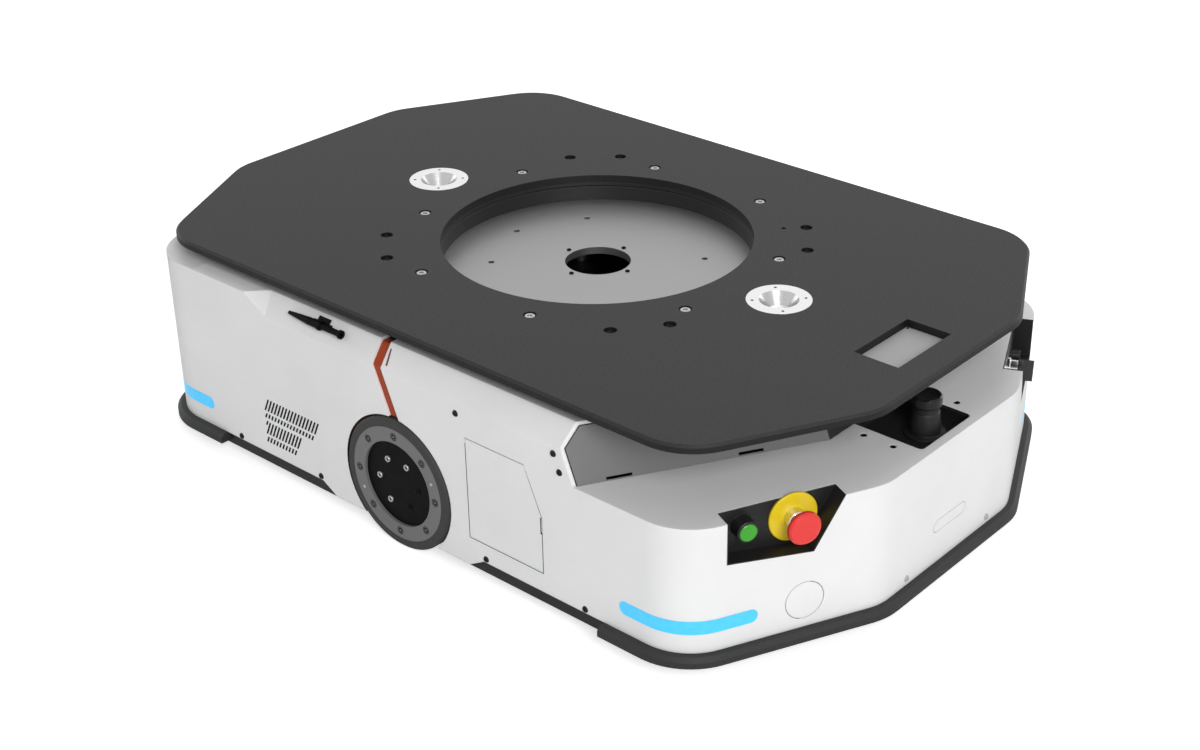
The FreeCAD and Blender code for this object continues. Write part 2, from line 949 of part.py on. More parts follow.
def make_top_panel():
    """The flat inner cover under the plate, open round the slewing ring and its pinion."""
    high = S.body_top - S.cover_wall
    low = high - 3
    lead = (S.body_top - S.front_deck) * S.rake
    edge = 12.0
    body = prism(
        "top_panel",
        [
            (-(S.rear_deck_end - 5), -(S.flange_half + edge)),
            (S.foot_side - lead - 6, -(S.flange_half + edge)),
            (S.foot_middle - lead - 10, -S.foot_half),
            (S.foot_middle - lead - 10, S.foot_half),
            (S.foot_side - lead - 6, S.flange_half + edge),
            (-(S.rear_deck_end - 5), S.flange_half + edge),
        ],
        low,
        3.0,
    )
    sketch = new_sketch(body, "XY", high)
    circle(sketch, 0.0, 0.0, S.panel_hole)
    pocket(body, sketch, 10.0)
    sketch = new_sketch(body, "XY", high)
    polygon(
        sketch,
        [
            (-S.slot_end, -S.slot_half),
            (-S.panel_hole + 20, -S.slot_half),
            (-S.panel_hole + 20, S.slot_half),
            (-S.slot_end, S.slot_half),
        ],
    )
    pocket(body, sketch, 10.0)
    return body


def make_lidar_well():
    high = S.front_deck - S.cover_wall
    low = S.lidar_floor - 2
    wall = 4.0
    block = box(
        (S.well_near - wall, -S.well_half - wall, low), (S.well_far + wall, S.well_half + wall, high)
    )
    space = box((S.well_near, -S.well_half, S.lidar_floor), (S.well_far, S.well_half, high + 5))
    return cut("lidar_well", block, space)


def side_profile(inset, thick):
    """A strip that follows the inside of a side wall, its shoulder and its top edge."""
    deep = inset + thick
    wall, crease = S.body_half_width, S.crease_height
    inner, top = S.body_half_width - S.shoulder_inset, S.body_top
    return [
        (-(wall - inset), 150.0),
        (-(wall - inset), crease - inset * 0.4),
        (-(inner - inset * 0.4), top - inset),
        (-(S.flange_half + 13), top - inset),
        (-(S.flange_half + 13), top - deep),
        (-(inner - deep * 0.4), top - deep),
        (-(wall - deep), crease - deep * 0.4),
        (-(wall - deep), 150.0),
    ]


def make_wheel_arch_trims():
    """Orange strips that show through the gap in each side cover, with the arch liners."""
    strip = prism("strip", side_profile(S.cover_wall, 2.5), -80.0, 160.0, plane="YZ")
    lap = 5.0
    edge = trim_edge(-S.trim_width - lap)
    other = [(x + S.trim_width + lap * 2, z) for x, z in edge]
    above = S.wheel_radius + S.arch_radius - 4
    outlined = through_sides(
        "trim_outline", [(edge[1][0], above)] + edge[2:] + other[:1:-1] + [(other[1][0], above)]
    )
    inner_face = S.body_half_width - S.cover_wall
    liner = cut(
        "liner",
        rod(0.0, -inner_face + 30, S.wheel_radius, S.arch_radius + 2.5, 30.0, TO_RIGHT),
        rod(0.0, -inner_face + 35, S.wheel_radius, S.arch_radius, 40.0, TO_RIGHT),
        box((-200.0, -500.0, -50.0), (200.0, 0.0, S.liner_bottom)),
    )
    bore = rod(0.0, -inner_face + 35, S.wheel_radius, S.arch_radius, 40.0, TO_RIGHT)
    right = fuse("trim", cut("strip", common("strip", strip, outlined), bore), liner)
    return group("wheel_arch_trims", right, mirrored(right, Vector(0, 1, 0)))


def make_access_door():
    body = new_body("door_panel")
    sketch = new_sketch(body, "XZ", S.body_half_width - S.cover_wall)
    polygon(sketch, door_points(S.door_gap))
    pad(body, sketch, S.cover_wall)
    middle = S.body_half_width - S.cover_wall / 2
    x = S.door_near + S.hinge_inset
    low = rod(x, -middle, S.door_low - S.pin_length, S.pin_radius, S.pin_length + 4)
    high = rod(x, -middle, S.door_high - 4, S.pin_radius, S.pin_length + 4)
    notch = box(
        (S.door_far - 3, -S.body_half_width - 5, 115.0),
        (S.door_far + 5, -S.body_half_width + 2.5, S.door_notch - 1),
    )
    return fuse("right_access_door", cut("door_panel", body, notch), low, high)


def hinge_sockets():
    middle = S.body_half_width - S.cover_wall / 2
    x = S.door_near + S.hinge_inset
    radius = S.pin_radius + S.fit
    low = rod(x, -middle, S.door_low - S.pin_length - 1, radius, S.pin_length + 2)
    high = rod(x, -middle, S.door_high - 1, radius, S.pin_length + 2)
    return group("hinge_sockets", low, high)


def make_cover_plugs():
    """Snap-in plugs, each with a lip behind the cover."""
    wall = S.cover_wall
    plugs = plug_solids(0.0, 0.0)
    lip = on_face(rod(0, 0, 0, S.round_plug_radius + 3, 2.0), 99.0, wall + 2, 72.5)
    right = fuse("plug", plugs[0], lip)
    left = mirrored(right, Vector(0, 1, 0))
    half = S.long_plug_length / 2 + 3
    rise = S.long_plug_height / 2 + 3
    back = box(
        (S.body_half_length - wall - 2, -half, S.long_plug_place - rise),
        (S.body_half_length - wall, half, S.long_plug_place + rise),
    )
    return group("cover_plugs", right, left, fuse("plug", plugs[2], back))


def make_cover_screws():
    """Button screws along the sides and beside the long plug."""
    profile = [(0, 0), (2.0, 0), (2.0, 4.0), (4.2, 4.0), (3.4, 5.4), (1.4, 5.8), (1.4, 4.6), (0, 4.6)]
    screw = turned("screw", profile)
    wall = (S.body_half_width - S.cover_wall).value
    places = []
    for x, z in SIDE_SCREWS:
        places.append(Placement(Vector(x, -wall, z), TO_RIGHT))
        places.append(Placement(Vector(x, wall, z), TO_LEFT))
    nose = (S.body_half_length - S.cover_wall).value
    for side in (-1, 1):
        places.append(Placement(Vector(nose, side * NOSE_SCREW[0], NOSE_SCREW[1]), TO_FRONT))
    return repeated("cover_screws", screw, places)


def make_bumper(sign):
    """A bumper band round one end, bevelled along its upper outer edge."""
    start = S.bumper_end
    low = S.cover_bottom - S.bumper_height
    shell = prism("bumper", outline(-S.bumper_reach, start), low, S.bumper_height)
    dress(shell, "Fillet", away_from_cut(start), S.body_corner + S.bumper_reach)
    top = lies_at(S.cover_bottom)
    shell_limit = start.value + 1
    dress(
        shell,
        "Chamfer",
        lambda edge: top(edge) and max(vertex.X for vertex in edge.Vertexes) > shell_limit,
        S.bumper_bevel,
    )
    core = prism("core", outline(S.pan_inset, start - 5), low - 5, S.bumper_height + 10)
    dress(core, "Fillet", away_from_cut(start - 5), S.body_corner - S.pan_inset)
    band = cut("band", shell, core)
    if sign < 0:
        band = mirrored(band, Vector(1, 0, 0))
    band.Label = "front_bumper" if sign > 0 else "rear_bumper"
    return band


# ---------------------------------------------------------------- chassis


def make_base_frame():
    """The folded pan, open under the castors and at the drive wheels."""
    low = S.pan_bottom
    inner = S.pan_inset + S.pan_sheet
    shell = prism("pan", outline(S.pan_inset), low, S.pan_wall_top - low)
    dress(shell, "Fillet", is_upright, S.body_corner - S.pan_inset)
    core = prism("core", outline(inner), low + S.pan_sheet, S.pan_wall_top)
    dress(core, "Fillet", is_upright, S.body_corner - inner)
    openings = [
        rod(x * S.castor_x, y * S.castor_y, 0.0, S.castor_opening, 40.0)
        for x in (-1, 1)
        for y in (-1, 1)
    ]
    wells = [
        box((-100.0, side * 356.0 - 44, -10.0), (100.0, side * 356.0 + 44, 100.0))
        for side in (-1, 1)
    ]
    return cut("base_frame", shell, core, *openings, *wells)


def make_castor_bridges():
    """Four folded bridges that carry the castor stems over the pan's openings."""
    floor = S.pan_bottom + S.pan_sheet
    reach, leg = S.castor_reach, S.castor_leg
    bridges = []
    for x_sign in (-1, 1):
        for y_sign in (-1, 1):
            x, y = x_sign * S.castor_x, y_sign * S.castor_y
            bridge = prism(
                "castor_bridge",
                [
                    (y - reach - leg, floor),
                    (y - reach, floor),
                    (y - reach, S.castor_top),
                    (y + reach, S.castor_top),
                    (y + reach, floor),
                    (y + reach + leg, floor),
                    (y + reach + leg, S.castor_top + leg),
                    (y - reach - leg, S.castor_top + leg),
                ],
                x - 50 if x_sign > 0 else x - 35,
                85.0,
                plane="YZ",
            )
            stem = rod(x, y, S.castor_top - 5, S.stem_radius + S.fit, 20.0)
            bridges.append(cut("castor_bridge", bridge, stem))
    return group("castor_bridges", *bridges)


def make_frame_rails():
    """Rails along the pan, columns under the bridge plate and uprights for the drive units."""
    floor = S.pan_bottom + S.pan_sheet
    top = S.bridge_height
    rails = [
        box((-470.0, side * 95.0 - 10, floor), (470.0, side * 95.0 + 10, 52.0)) for side in (-1, 1)
    ]
    columns = [
        box((x - 10, y - 10, floor), (x + 10, y + 10, top))
        for x in (-215.0, 215.0)
        for y in (-140.0, 140.0)
    ]
    uprights = []
    for side in (-1, 1):
        plate = box((-70.0, side * 258.0 - 4, floor), (70.0, side * 258.0 + 4, top))
        hole = rod(0.0, side * 258.0 - 10, S.wheel_radius, S.motor_radius + 1, 20.0, TO_LEFT)
        uprights.append(cut("upright", plate, hole))
    return group("frame_rails", *rails, *columns, *uprights)


def make_lift_base():
    """The bridge plate that guides the lift."""
    holes = [(x, y, S.bush_radius) for x in (-S.post_x, S.post_x) for y in (-S.post_y, S.post_y)]
    holes += [(x, 0.0, S.nut_radius + S.fit) for x in (-S.screw_place, S.screw_place)]
    body = prism(
        "bridge_plate",
        [(-240.0, -170.0), (240.0, -170.0), (240.0, 170.0), (-240.0, 170.0)],
        S.bridge_height,
        10.0,
        corner=12.0,
        holes=holes,
    )
    return fuse("lift_base", body, make_guide_bushes())


def make_guide_bushes():
    top = S.bridge_height + 10
    bush = turned(
        "bush",
        [
            (S.post_radius + S.fit, S.bridge_height - 10),
            (S.bush_radius, S.bridge_height - 10),
            (S.bush_radius, top),
            (S.bush_radius + 6, top),
            (S.bush_radius + 6, top + 8),
            (S.post_radius + S.fit, top + 8),
        ],
    )
    x, y = S.post_x.value, S.post_y.value
    corners = [(-x, -y), (x, -y), (x, y), (-x, y)]
    return repeated("guide_bushes", bush, [Placement(Vector(a, b, 0), Rotation()) for a, b in corners])


def make_drive_unit(side):
    """Gear head and motor of one drive wheel, bolted to its upright."""
    name = "right_drive_unit" if side < 0 else "left_drive_unit"
    seat = 262.0
    face = 312.0
    body = turned(
        name,
        [
            (0.0, 150.0),
            (S.motor_radius, 150.0),
            (S.motor_radius, seat),
            (S.gearhead_radius, seat),
            (S.gearhead_radius, face - 6),
            (S.gearhead_radius - 6, face),
            (S.axle_radius + S.fit, face),
            (S.axle_radius + S.fit, face - 28),
            (0.0, face - 28),
        ],
    )
    return place(body, 0.0, 0.0, S.wheel_radius, TO_RIGHT if side < 0 else TO_LEFT)


def facing_wheel(body, side):
    """Stand a turned part on the wheel axis, with its height as the distance inwards."""
    turn = TO_LEFT if side < 0 else TO_RIGHT
    return place(body, 0.0, side * S.wheel_face, S.wheel_radius, turn)


def make_wheel(side):
    name = "right" if side < 0 else "left"
    radius, rim, wide = S.wheel_radius, S.rim_radius, S.wheel_width
    tyre = turned(
        f"{name}_tyre",
        [
            (rim, 0.0),
            (radius - 3, 0.0),
            (radius, 3.0),
            (radius, wide - 3),
            (radius - 3, wide),
            (rim, wide),
        ],
    )
    ring = turned(
        f"{name}_rim",
        [
            (S.hub_radius, 0.0),
            (rim, 0.0),
            (rim, wide - 4),
            (rim - 6, wide - 4),
            (rim - 6, 8.0),
            (S.hub_radius, 8.0),
        ],
    )
    axle = S.axle_radius
    hub = turned(
        f"{name}_hub",
        [
            (0.0, S.hub_recess),
            (S.hub_radius, S.hub_recess),
            (S.hub_radius, 8.0),
            (S.hub_radius + 10, 8.0),
            (S.hub_radius + 10, 14.0),
            (30.0, 14.0),
            (30.0, 44.0),
            (axle, 44.0),
            (axle, 80.0),
            (0.0, 80.0),
        ],
    )
    for part in (tyre, ring, hub):
        facing_wheel(part, side)
    return tyre, ring, hub


def make_castor_fork(name):
    """A swivel fork with its stem and axle. It stands at the castor's own swivel axis."""
    trail, axle = -S.castor_trail, S.castor_radius
    crown = turned(
        "crown",
        [
            (0.0, S.castor_top - 16),
            (27.0, S.castor_top - 16),
            (30.0, S.castor_top - 10),
            (30.0, S.castor_top - 4),
            (24.0, S.castor_top - 0.5),
            (S.stem_radius, S.castor_top - 0.5),
            (S.stem_radius, S.castor_top + 14),
            (0.0, S.castor_top + 14),
        ],
    )
    gap = S.castor_width / 2 + 4
    legs = []
    for side in (-1, 1):
        body = new_body("leg")
        near = gap if side < 0 else -gap - 4
        sketch = new_sketch(body, "XZ", near)
        polygon(
            sketch,
            [
                (trail - 10, axle - 6),
                (trail + 4, axle - 10),
                (trail + 12, axle),
                (24.0, S.castor_top - 18),
                (24.0, S.castor_top - 12),
                (-24.0, S.castor_top - 12),
                (trail - 12, axle + 14),
            ],
        )
        pad(body, sketch, 4.0)
        legs.append(body)
    pin = rod(trail, gap + 6, axle, S.pin_castor, gap * 2 + 12, TO_RIGHT)
    return fuse(name, crown, *legs, pin)


def make_castor_wheel(name):
    half = S.castor_width / 2
    radius, bore = S.castor_radius, S.pin_castor + S.fit
    body = turned(
        name,
        [
            (bore, -half - 3.5),
            (11.0, -half - 3.5),
            (11.0, -half + 4),
            (24.0, -half + 4),
            (27.0, -half),
            (radius - 3, -half),
            (radius, -half + 4),
            (radius, half - 4),
            (radius - 3, half),
            (27.0, half),
            (24.0, half - 4),
            (11.0, half - 4),
            (11.0, half + 3.5),
            (bore, half + 3.5),
        ],
    )
    return body


# ---------------------------------------------------------------- lift and turntable


def make_lift_table():
    radius = S.table_radius
    body = prism(
        "lift_table",
        [(-345.0, -48.0), (0.0, -48.0), (0.0, 48.0), (-345.0, 48.0)],
        S.table_top - S.table_thickness,
        S.table_thickness,
        corner=20.0,
    )
    sketch = new_sketch(body, "XY", S.table_top - S.table_thickness)
    circle(sketch, 0.0, 0.0, radius)
    pad(body, sketch, S.table_thickness)
    sketch = new_sketch(body, "XY", S.table_top)
    circle(sketch, 0.0, 0.0, S.eye_radius)
    circle(sketch, -S.pinion_place, 0.0, S.shaft_radius + 1)
    for x, y in ((-102.0, -92.0), (-102.0, 92.0), (102.0, 93.0), (-145.0, 0.0)):
        circle(sketch, x, y, 4.0)
    pocket(body, sketch)
    return body


def make_guide_posts():
    top = S.table_top - S.table_thickness
    post = turned(
        "post",
        [
            (0.0, 60.0),
            (S.post_radius - 1, 60.0),
            (S.post_radius, 61.0),
            (S.post_radius, top - 6),
            (S.post_radius + 8, top - 6),
            (S.post_radius + 8, top),
            (0.0, top),
        ],
    )
    x, y = S.post_x.value, S.post_y.value
    corners = [(-x, -y), (x, -y), (x, y), (-x, y)]
    return repeated("guide_posts", post, [Placement(Vector(a, b, 0), Rotation()) for a, b in corners])


def make_lift_screws():
    top = S.table_top - S.table_thickness
    screw = turned(
        "lift_screw",
        [
            (0.0, 56.0),
            (S.screw_radius - 1, 56.0),
            (S.screw_radius, 57.0),
            (S.screw_radius, top - 10),
            (S.screw_radius + 12, top - 10),
            (S.screw_radius + 12, top),
            (0.0, top),
        ],
    )
    far = S.screw_place.value
    places = [Placement(Vector(x, 0, 0), Rotation()) for x in (-far, far)]
    return repeated("lift_screws", screw, places)


def make_lift_nut(name, x):
    """A driven nut with a toothed belt groove under the bridge plate."""
    low, high = S.bridge_height, S.bridge_height + 10
    bore, wide = S.screw_radius + S.fit, S.nut_radius
    body = turned(
        name,
        [
            (bore, low - 26),
            (wide + 6, low - 26),
            (wide + 6, low - 22),
            (wide + 2, low - 22),
            (wide + 2, low - 6),
            (wide + 6, low - 6),
            (wide + 6, low - 2),
            (wide, low - 2),
            (wide, high + 0.5),
            (wide + 6, high + 0.5),
            (wide + 6, high + 7),
            (bore, high + 7),
        ],
    )
    return place(body, x, 0.0, 0.0)


def tooth_points(teeth, root, outer, side):
    """One gear tooth across +X. Its flanks are involutes, slightly thinned for play."""
    module = S.gear_module.value
    pitch = module * teeth / 2
    base = pitch * math.cos(math.radians(20))
    slack = 0.35 / pitch

    def flank(radius):
        angle = math.acos(min(1.0, base / radius))
        rolled = math.tan(angle) - angle
        start = math.tan(math.radians(20)) - math.radians(20)
        return math.pi / (2 * teeth) - slack + start - rolled

    radii = [max(root, base), pitch, outer]
    low = root - side
    half = [(low, flank(radii[0]))] + [(radius, flank(radius)) for radius in radii]
    upper = [(radius * math.cos(turn), radius * math.sin(turn)) for radius, turn in half]
    return upper + [(x, -y) for x, y in reversed(upper)]


def add_teeth(body, teeth, root, outer, low, height):
    """Pad one tooth and repeat it around the body's Z axis."""
    sketch = new_sketch(body, "XY", low)
    polygon(sketch, tooth_points(teeth, root, outer, 2.0))
    tooth = pad(body, sketch, height)
    pattern = body.newObject("PartDesign::PolarPattern", "teeth")
    pattern.Originals = [tooth]
    axis = next(item for item in body.Origin.OriginFeatures if item.Role == "Z_Axis")
    pattern.Axis = (axis, [""])
    pattern.Angle = 360.0
    pattern.Occurrences = int(teeth)
    body.Tip = pattern
    return body


def make_outer_ring():
    """The turntable's toothed outer ring under the plate."""
    split = S.ring_split + S.ring_gap
    top = S.plate_top - S.plate_thickness
    low = S.table_top + 2
    body = turned(
        "slew_outer_ring",
        [
            (split, low),
            (S.ring_outer, low),
            (S.ring_outer, top - 5),
            (S.ring_outer + 7.5, top - 5),
            (S.ring_outer + 7.5, top),
            (S.bore_radius, top),
            (S.bore_radius, top - 5),
            (split, top - 5),
        ],
    )
    teeth = DIMENSIONS["teeth"]
    outer = DIMENSIONS["gear_module"] * (teeth / 2 + 0.9)
    return add_teeth(body, teeth, S.ring_outer.value, outer, low, 17.0)


def make_inner_ring():
    low, high = S.table_top, S.table_top + 20
    return turned(
        "slew_inner_ring",
        [
            (S.bore_radius, low),
            (S.ring_split, low),
            (S.ring_split, high),
            (S.bore_radius + 1, high),
            (S.bore_radius, high - 1),
        ],
    )


def make_pinion():
    teeth = DIMENSIONS["pinion_teeth"]
    module = DIMENSIONS["gear_module"]
    root = module * (teeth / 2 - 1.25)
    low = S.table_top + 2.5
    body = turned(
        "slew_pinion",
        [
            (0.0, S.table_top - S.table_thickness - 14),
            (S.shaft_radius, S.table_top - S.table_thickness - 14),
            (S.shaft_radius, low),
            (root, low),
            (root, low + 14.5),
            (0.0, low + 14.5),
        ],
    )
    add_teeth(body, teeth, root, module * (teeth / 2 + 0.9), low, 14.5)
    return place(body, -S.pinion_place, 0.0, 0.0, Rotation(Vector(0, 0, 1), 180.0 / teeth))


def make_slew_motor():
    top = S.table_top - S.table_thickness
    fit = S.shaft_radius + S.fit
    body = turned(
        "slew_motor",
        [
            (0.0, top - 84),
            (38.0, top - 84),
            (40.0, top - 80),
            (40.0, top - 10),
            (44.0, top - 10),
            (44.0, top),
            (fit, top),
            (fit, top - 16),
            (0.0, top - 16),
        ],
    )
    return place(body, -S.pinion_place, 0.0, 0.0)


def make_top_plate():
    """The lifted plate: bevelled edge, bore, bolt circles, cup seats and a window."""
    length, width = S.plate_half_length, S.plate_half_width
    end, side = S.plate_end_half, S.plate_side_half
    low = S.plate_top - S.plate_thickness
    corners = [(side, -width), (length, -end), (length, end), (side, width)]
    corners += [(-x, -y) for x, y in corners]
    body = prism("top_plate", corners, low, S.plate_thickness, corner=S.plate_corner)
    dress(body, "Chamfer", lies_at(S.plate_top), S.plate_bevel)
    through = new_sketch(body, "XY", S.plate_top)
    circle(through, 0.0, 0.0, S.bore_radius)
    polygon(
        through,
        [
            (S.window_near, -S.window_half),
            (S.window_far, -S.window_half),
            (S.window_far, S.window_half),
            (S.window_near, S.window_half),
        ],
    )
    circle(through, 170.0, 170.0, 3.0)
    for x in (-S.cup_place, S.cup_place):
        circle(through, x, 0.0, S.cup_radius - 4)
    pocket(body, through)
    seats = new_sketch(body, "XY", S.plate_top)
    for x in (-S.cup_place, S.cup_place):
        circle(seats, x, 0.0, S.cup_radius + 0.5)
    pocket(body, seats, 5.0)
    wide = new_sketch(body, "XY", S.plate_top)
    narrow = new_sketch(body, "XY", S.plate_top)
    for circle_radius, angles in plate_holes():
        for angle in angles:
            x = circle_radius * math.cos(math.radians(angle))
            y = circle_radius * math.sin(math.radians(angle))
            circle(wide, x, y, S.counterbore_radius)
            circle(narrow, x, y, S.bolt_hole_radius)
    pocket(body, wide, S.counterbore_depth)
    pocket(body, narrow)
    return body


def plate_holes():
    """Each bolt circle's radius with the angles of its holes in degrees."""
    fixing = [22.5 + 45 * step for step in range(8)]
    payload = [30, -30, 45, -45, 125, -125, 140, -140]
    return [(S.screw_circle, fixing), (S.payload_circle, payload)]


def make_plate_screws():
    seat = S.plate_top - S.counterbore_depth
    low = S.plate_top - S.plate_thickness
    screw = turned(
        "plate_screw",
        [
            (0.0, low),
            (4.0, low),
            (4.0, seat),
            (6.5, seat),
            (6.5, seat + 3.4),
            (5.9, seat + 4.0),
            (2.9, seat + 4.0),
            (2.9, seat + 1.6),
            (0.0, seat + 1.6),
        ],
    )
    places = []
    for step in range(8):
        angle = math.radians(22.5 + 45 * step)
        radius = S.screw_circle.value
        spot = Vector(radius * math.cos(angle), radius * math.sin(angle), 0)
        places.append(Placement(spot, Rotation()))
    return repeated("plate_screws", screw, places)


def make_locating_cups():
    top = S.plate_top
    cup = turned(
        "cup",
        [
            (0.0, top - S.cup_depth - 1.5),
            (S.cup_radius - 4, top - S.cup_depth - 1.5),
            (S.cup_radius - 4, top - 5),
            (S.cup_radius, top - 5),
            (S.cup_radius, top),
            (S.cup_cone_radius, top),
            (S.cup_floor_radius, top - S.cup_depth),
            (0.0, top - S.cup_depth),
        ],
    )
    far = S.cup_place.value
    places = [Placement(Vector(x, 0, 0), Rotation()) for x in (-far, far)]
    return repeated("locating_cups", cup, places)


# ---------------------------------------------------------------- controls and sensors


def make_tray(side):
    """The black liner of a control pocket, open to the face and to the deck."""
    outer = common(
        "tray", pocket_solid(0.0, 0.0), box((300.0, -500.0, 100.0), (700.0, 0.0, S.front_deck))
    )
    barrels = [
        on_face(rod(0, 0, 0, S.barrel_radius, 40.0), S.stop_along, 50.0, S.stop_height),
    ]
    if side < 0:
        barrels.append(
            on_face(rod(0, 0, 0, S.barrel_radius, 40.0), S.start_along, 50.0, S.start_height)
        )
    tray = cut("tray", outer, pocket_solid(S.tray_wall, 10.0), *barrels)
    return mirrored(tray, Vector(0, 1, 0)) if side > 0 else tray


def face_turned(label, profile, along, height, side=-1):
    """A turned part on a slanted face. Its profile gives radius and height over the face."""
    part = on_face(turned("turned", profile), along, 0.0, height)
    if side > 0:
        part = mirrored(part, Vector(0, 1, 0))
    part.Label = label
    return part


def make_controls():
    back = -S.pocket_depth
    barrel = S.barrel_radius
    stem = S.stop_stem
    bezel = face_turned(
        "estop_bezel",
        [(barrel, back), (30.0, back), (30.0, back + 2), (29.0, back + 3), (barrel, back + 3)],
        S.stop_along,
        S.stop_height,
    )
    behind = back - S.tray_wall
    collar_profile = [
        (stem + S.fit, back - 20),
        (barrel, back - 20),
        (barrel, behind - 5),
        (barrel + 4, behind - 5),
        (barrel + 4, behind),
        (barrel, behind),
        (barrel, back + 3),
        (12.5, back + 3),
        (12.5, back + 14),
        (11.5, back + 15),
        (stem + S.fit, back + 15),
    ]
    collar = face_turned("estop_collar", collar_profile, S.stop_along, S.stop_height)
    head = 9.4
    button = face_turned(
        "estop_button",
        [
            (0.0, back + 8),
            (stem, back + 8),
            (stem, head - 10),
            (17.5, head - 10),
            (20.0, head - 7),
            (20.0, head - 3.5),
            (18.0, head - 0.8),
            (15.0, head),
            (0.0, head),
        ],
        S.stop_along,
        S.stop_height,
    )
    start_bezel = face_turned(
        "start_bezel",
        [
            (5.05, behind - 16),
            (barrel, behind - 16),
            (barrel, behind - 5),
            (barrel + 3, behind - 5),
            (barrel + 3, behind),
            (barrel, behind),
            (barrel, back),
            (13.0, back),
            (13.0, -6.5),
            (12.0, -5.5),
            (10.55, -5.5),
            (10.55, -17.0),
            (5.05, -17.0),
        ],
        S.start_along,
        S.start_height,
    )
    start_button = face_turned(
        "start_button",
        [
            (0.0, -30.0),
            (5.0, -30.0),
            (5.0, -12.0),
            (10.5, -12.0),
            (10.5, -5.0),
            (9.5, -4.2),
            (0.0, -4.2),
        ],
        S.start_along,
        S.start_height,
    )
    switch_collar = face_turned(
        "switch_collar",
        [
            (stem + S.fit, back - 20),
            (barrel, back - 20),
            (barrel, behind - 5),
            (barrel + 4, behind - 5),
            (barrel + 4, behind),
            (barrel, behind),
            (barrel, back),
            (14.0, back),
            (14.0, back + 4),
            (11.5, back + 5),
            (11.5, back + 14),
            (stem + S.fit, back + 14),
        ],
        S.stop_along,
        S.stop_height,
        1,
    )
    knob = turned(
        "knob",
        [
            (0.0, back + 4),
            (stem, back + 4),
            (stem, back + 15),
            (13.0, back + 15),
            (13.0, back + 19),
            (11.5, back + 21),
            (0.0, back + 21),
        ],
    )
    grip = box((-13.0, -3.5, back + 17), (13.0, 3.5, 10.0))
    key = fuse("key", knob, grip)
    key = mirrored(on_face(key, S.stop_along, 0.0, S.stop_height), Vector(0, 1, 0))
    key.Label = "switch_knob"
    socket = face_turned(
        "service_socket",
        [(0.0, back), (7.5, back), (7.5, back + 12), (5.0, back + 12), (5.0, back + 5), (0.0, back + 5)],
        S.start_along,
        158.0,
        1,
    )
    return [bezel, collar, button, start_button, switch_collar, key, socket], start_bezel


def make_lidar():
    low, top = S.lidar_floor, S.lidar_top
    body = turned(
        "lidar_body",
        [
            (0.0, low),
            (25.0, low),
            (25.0, low + 3),
            (19.0, low + 5),
            (19.0, low + 9),
            (16.0, low + 30),
            (15.0, low + 31),
            (15.0, low + 38),
            (0.0, low + 38),
        ],
    )
    cap = turned(
        "lidar_cap",
        [
            (0.0, low + 38),
            (16.5, low + 38),
            (S.lidar_radius, low + 40),
            (S.lidar_radius, top - 2),
            (S.lidar_radius - 2, top),
            (0.0, top),
        ],
    )
    return place(body, S.lidar_x, 0.0, 0.0), place(cap, S.lidar_x, 0.0, 0.0)


def make_cable_boot():
    """A ribbed rubber boot with a screwed tab, lying along the right rear shoulder."""
    boot = turned(
        "boot",
        [
            (0.0, 0.0),
            (2.25, 0.0),
            (5.0, 36.0),
            (5.0, 54.0),
            (6.0, 54.0),
            (6.0, 58.0),
            (3.75, 59.0),
            (3.75, 90.0),
            (5.5, 92.0),
            (5.5, 95.0),
            (2.6, 95.0),
            (2.6, 80.0),
            (0.0, 80.0),
        ],
    )
    slope = math.degrees(math.atan2(24.0, 23.0))
    outward = Vector(0, -math.sin(math.radians(slope)), math.cos(math.radians(slope)))
    seat = Vector(-185.0, -352.5, 252.0)
    spot = seat + outward * 6.05
    place(boot, spot.x, spot.y, spot.z, TO_FRONT)
    tab = box((0.0, 0.0, 0.0), (20.0, 12.0, 2.0))
    turn = Rotation(Vector(1, 0, 0), slope)
    tab.Placement = Placement(seat + Vector(44.0, 0, 0), turn)
    wedge = box((0.0, -3.0, 0.0), (30.0, 3.0, 4.0))
    wedge.Placement = Placement(seat + Vector(40.0, 0, 0), turn)
    return fuse("cable_boot", boot, tab, wedge)


def block(name, low, high, radius):
    """A closed housing with rounded upright edges."""
    (left, near, bottom), (right, far, top) = low, high
    return prism(
        name,
        [(left, near), (right, near), (right, far), (left, far)],
        bottom,
        top - bottom,
        corner=radius,
    )


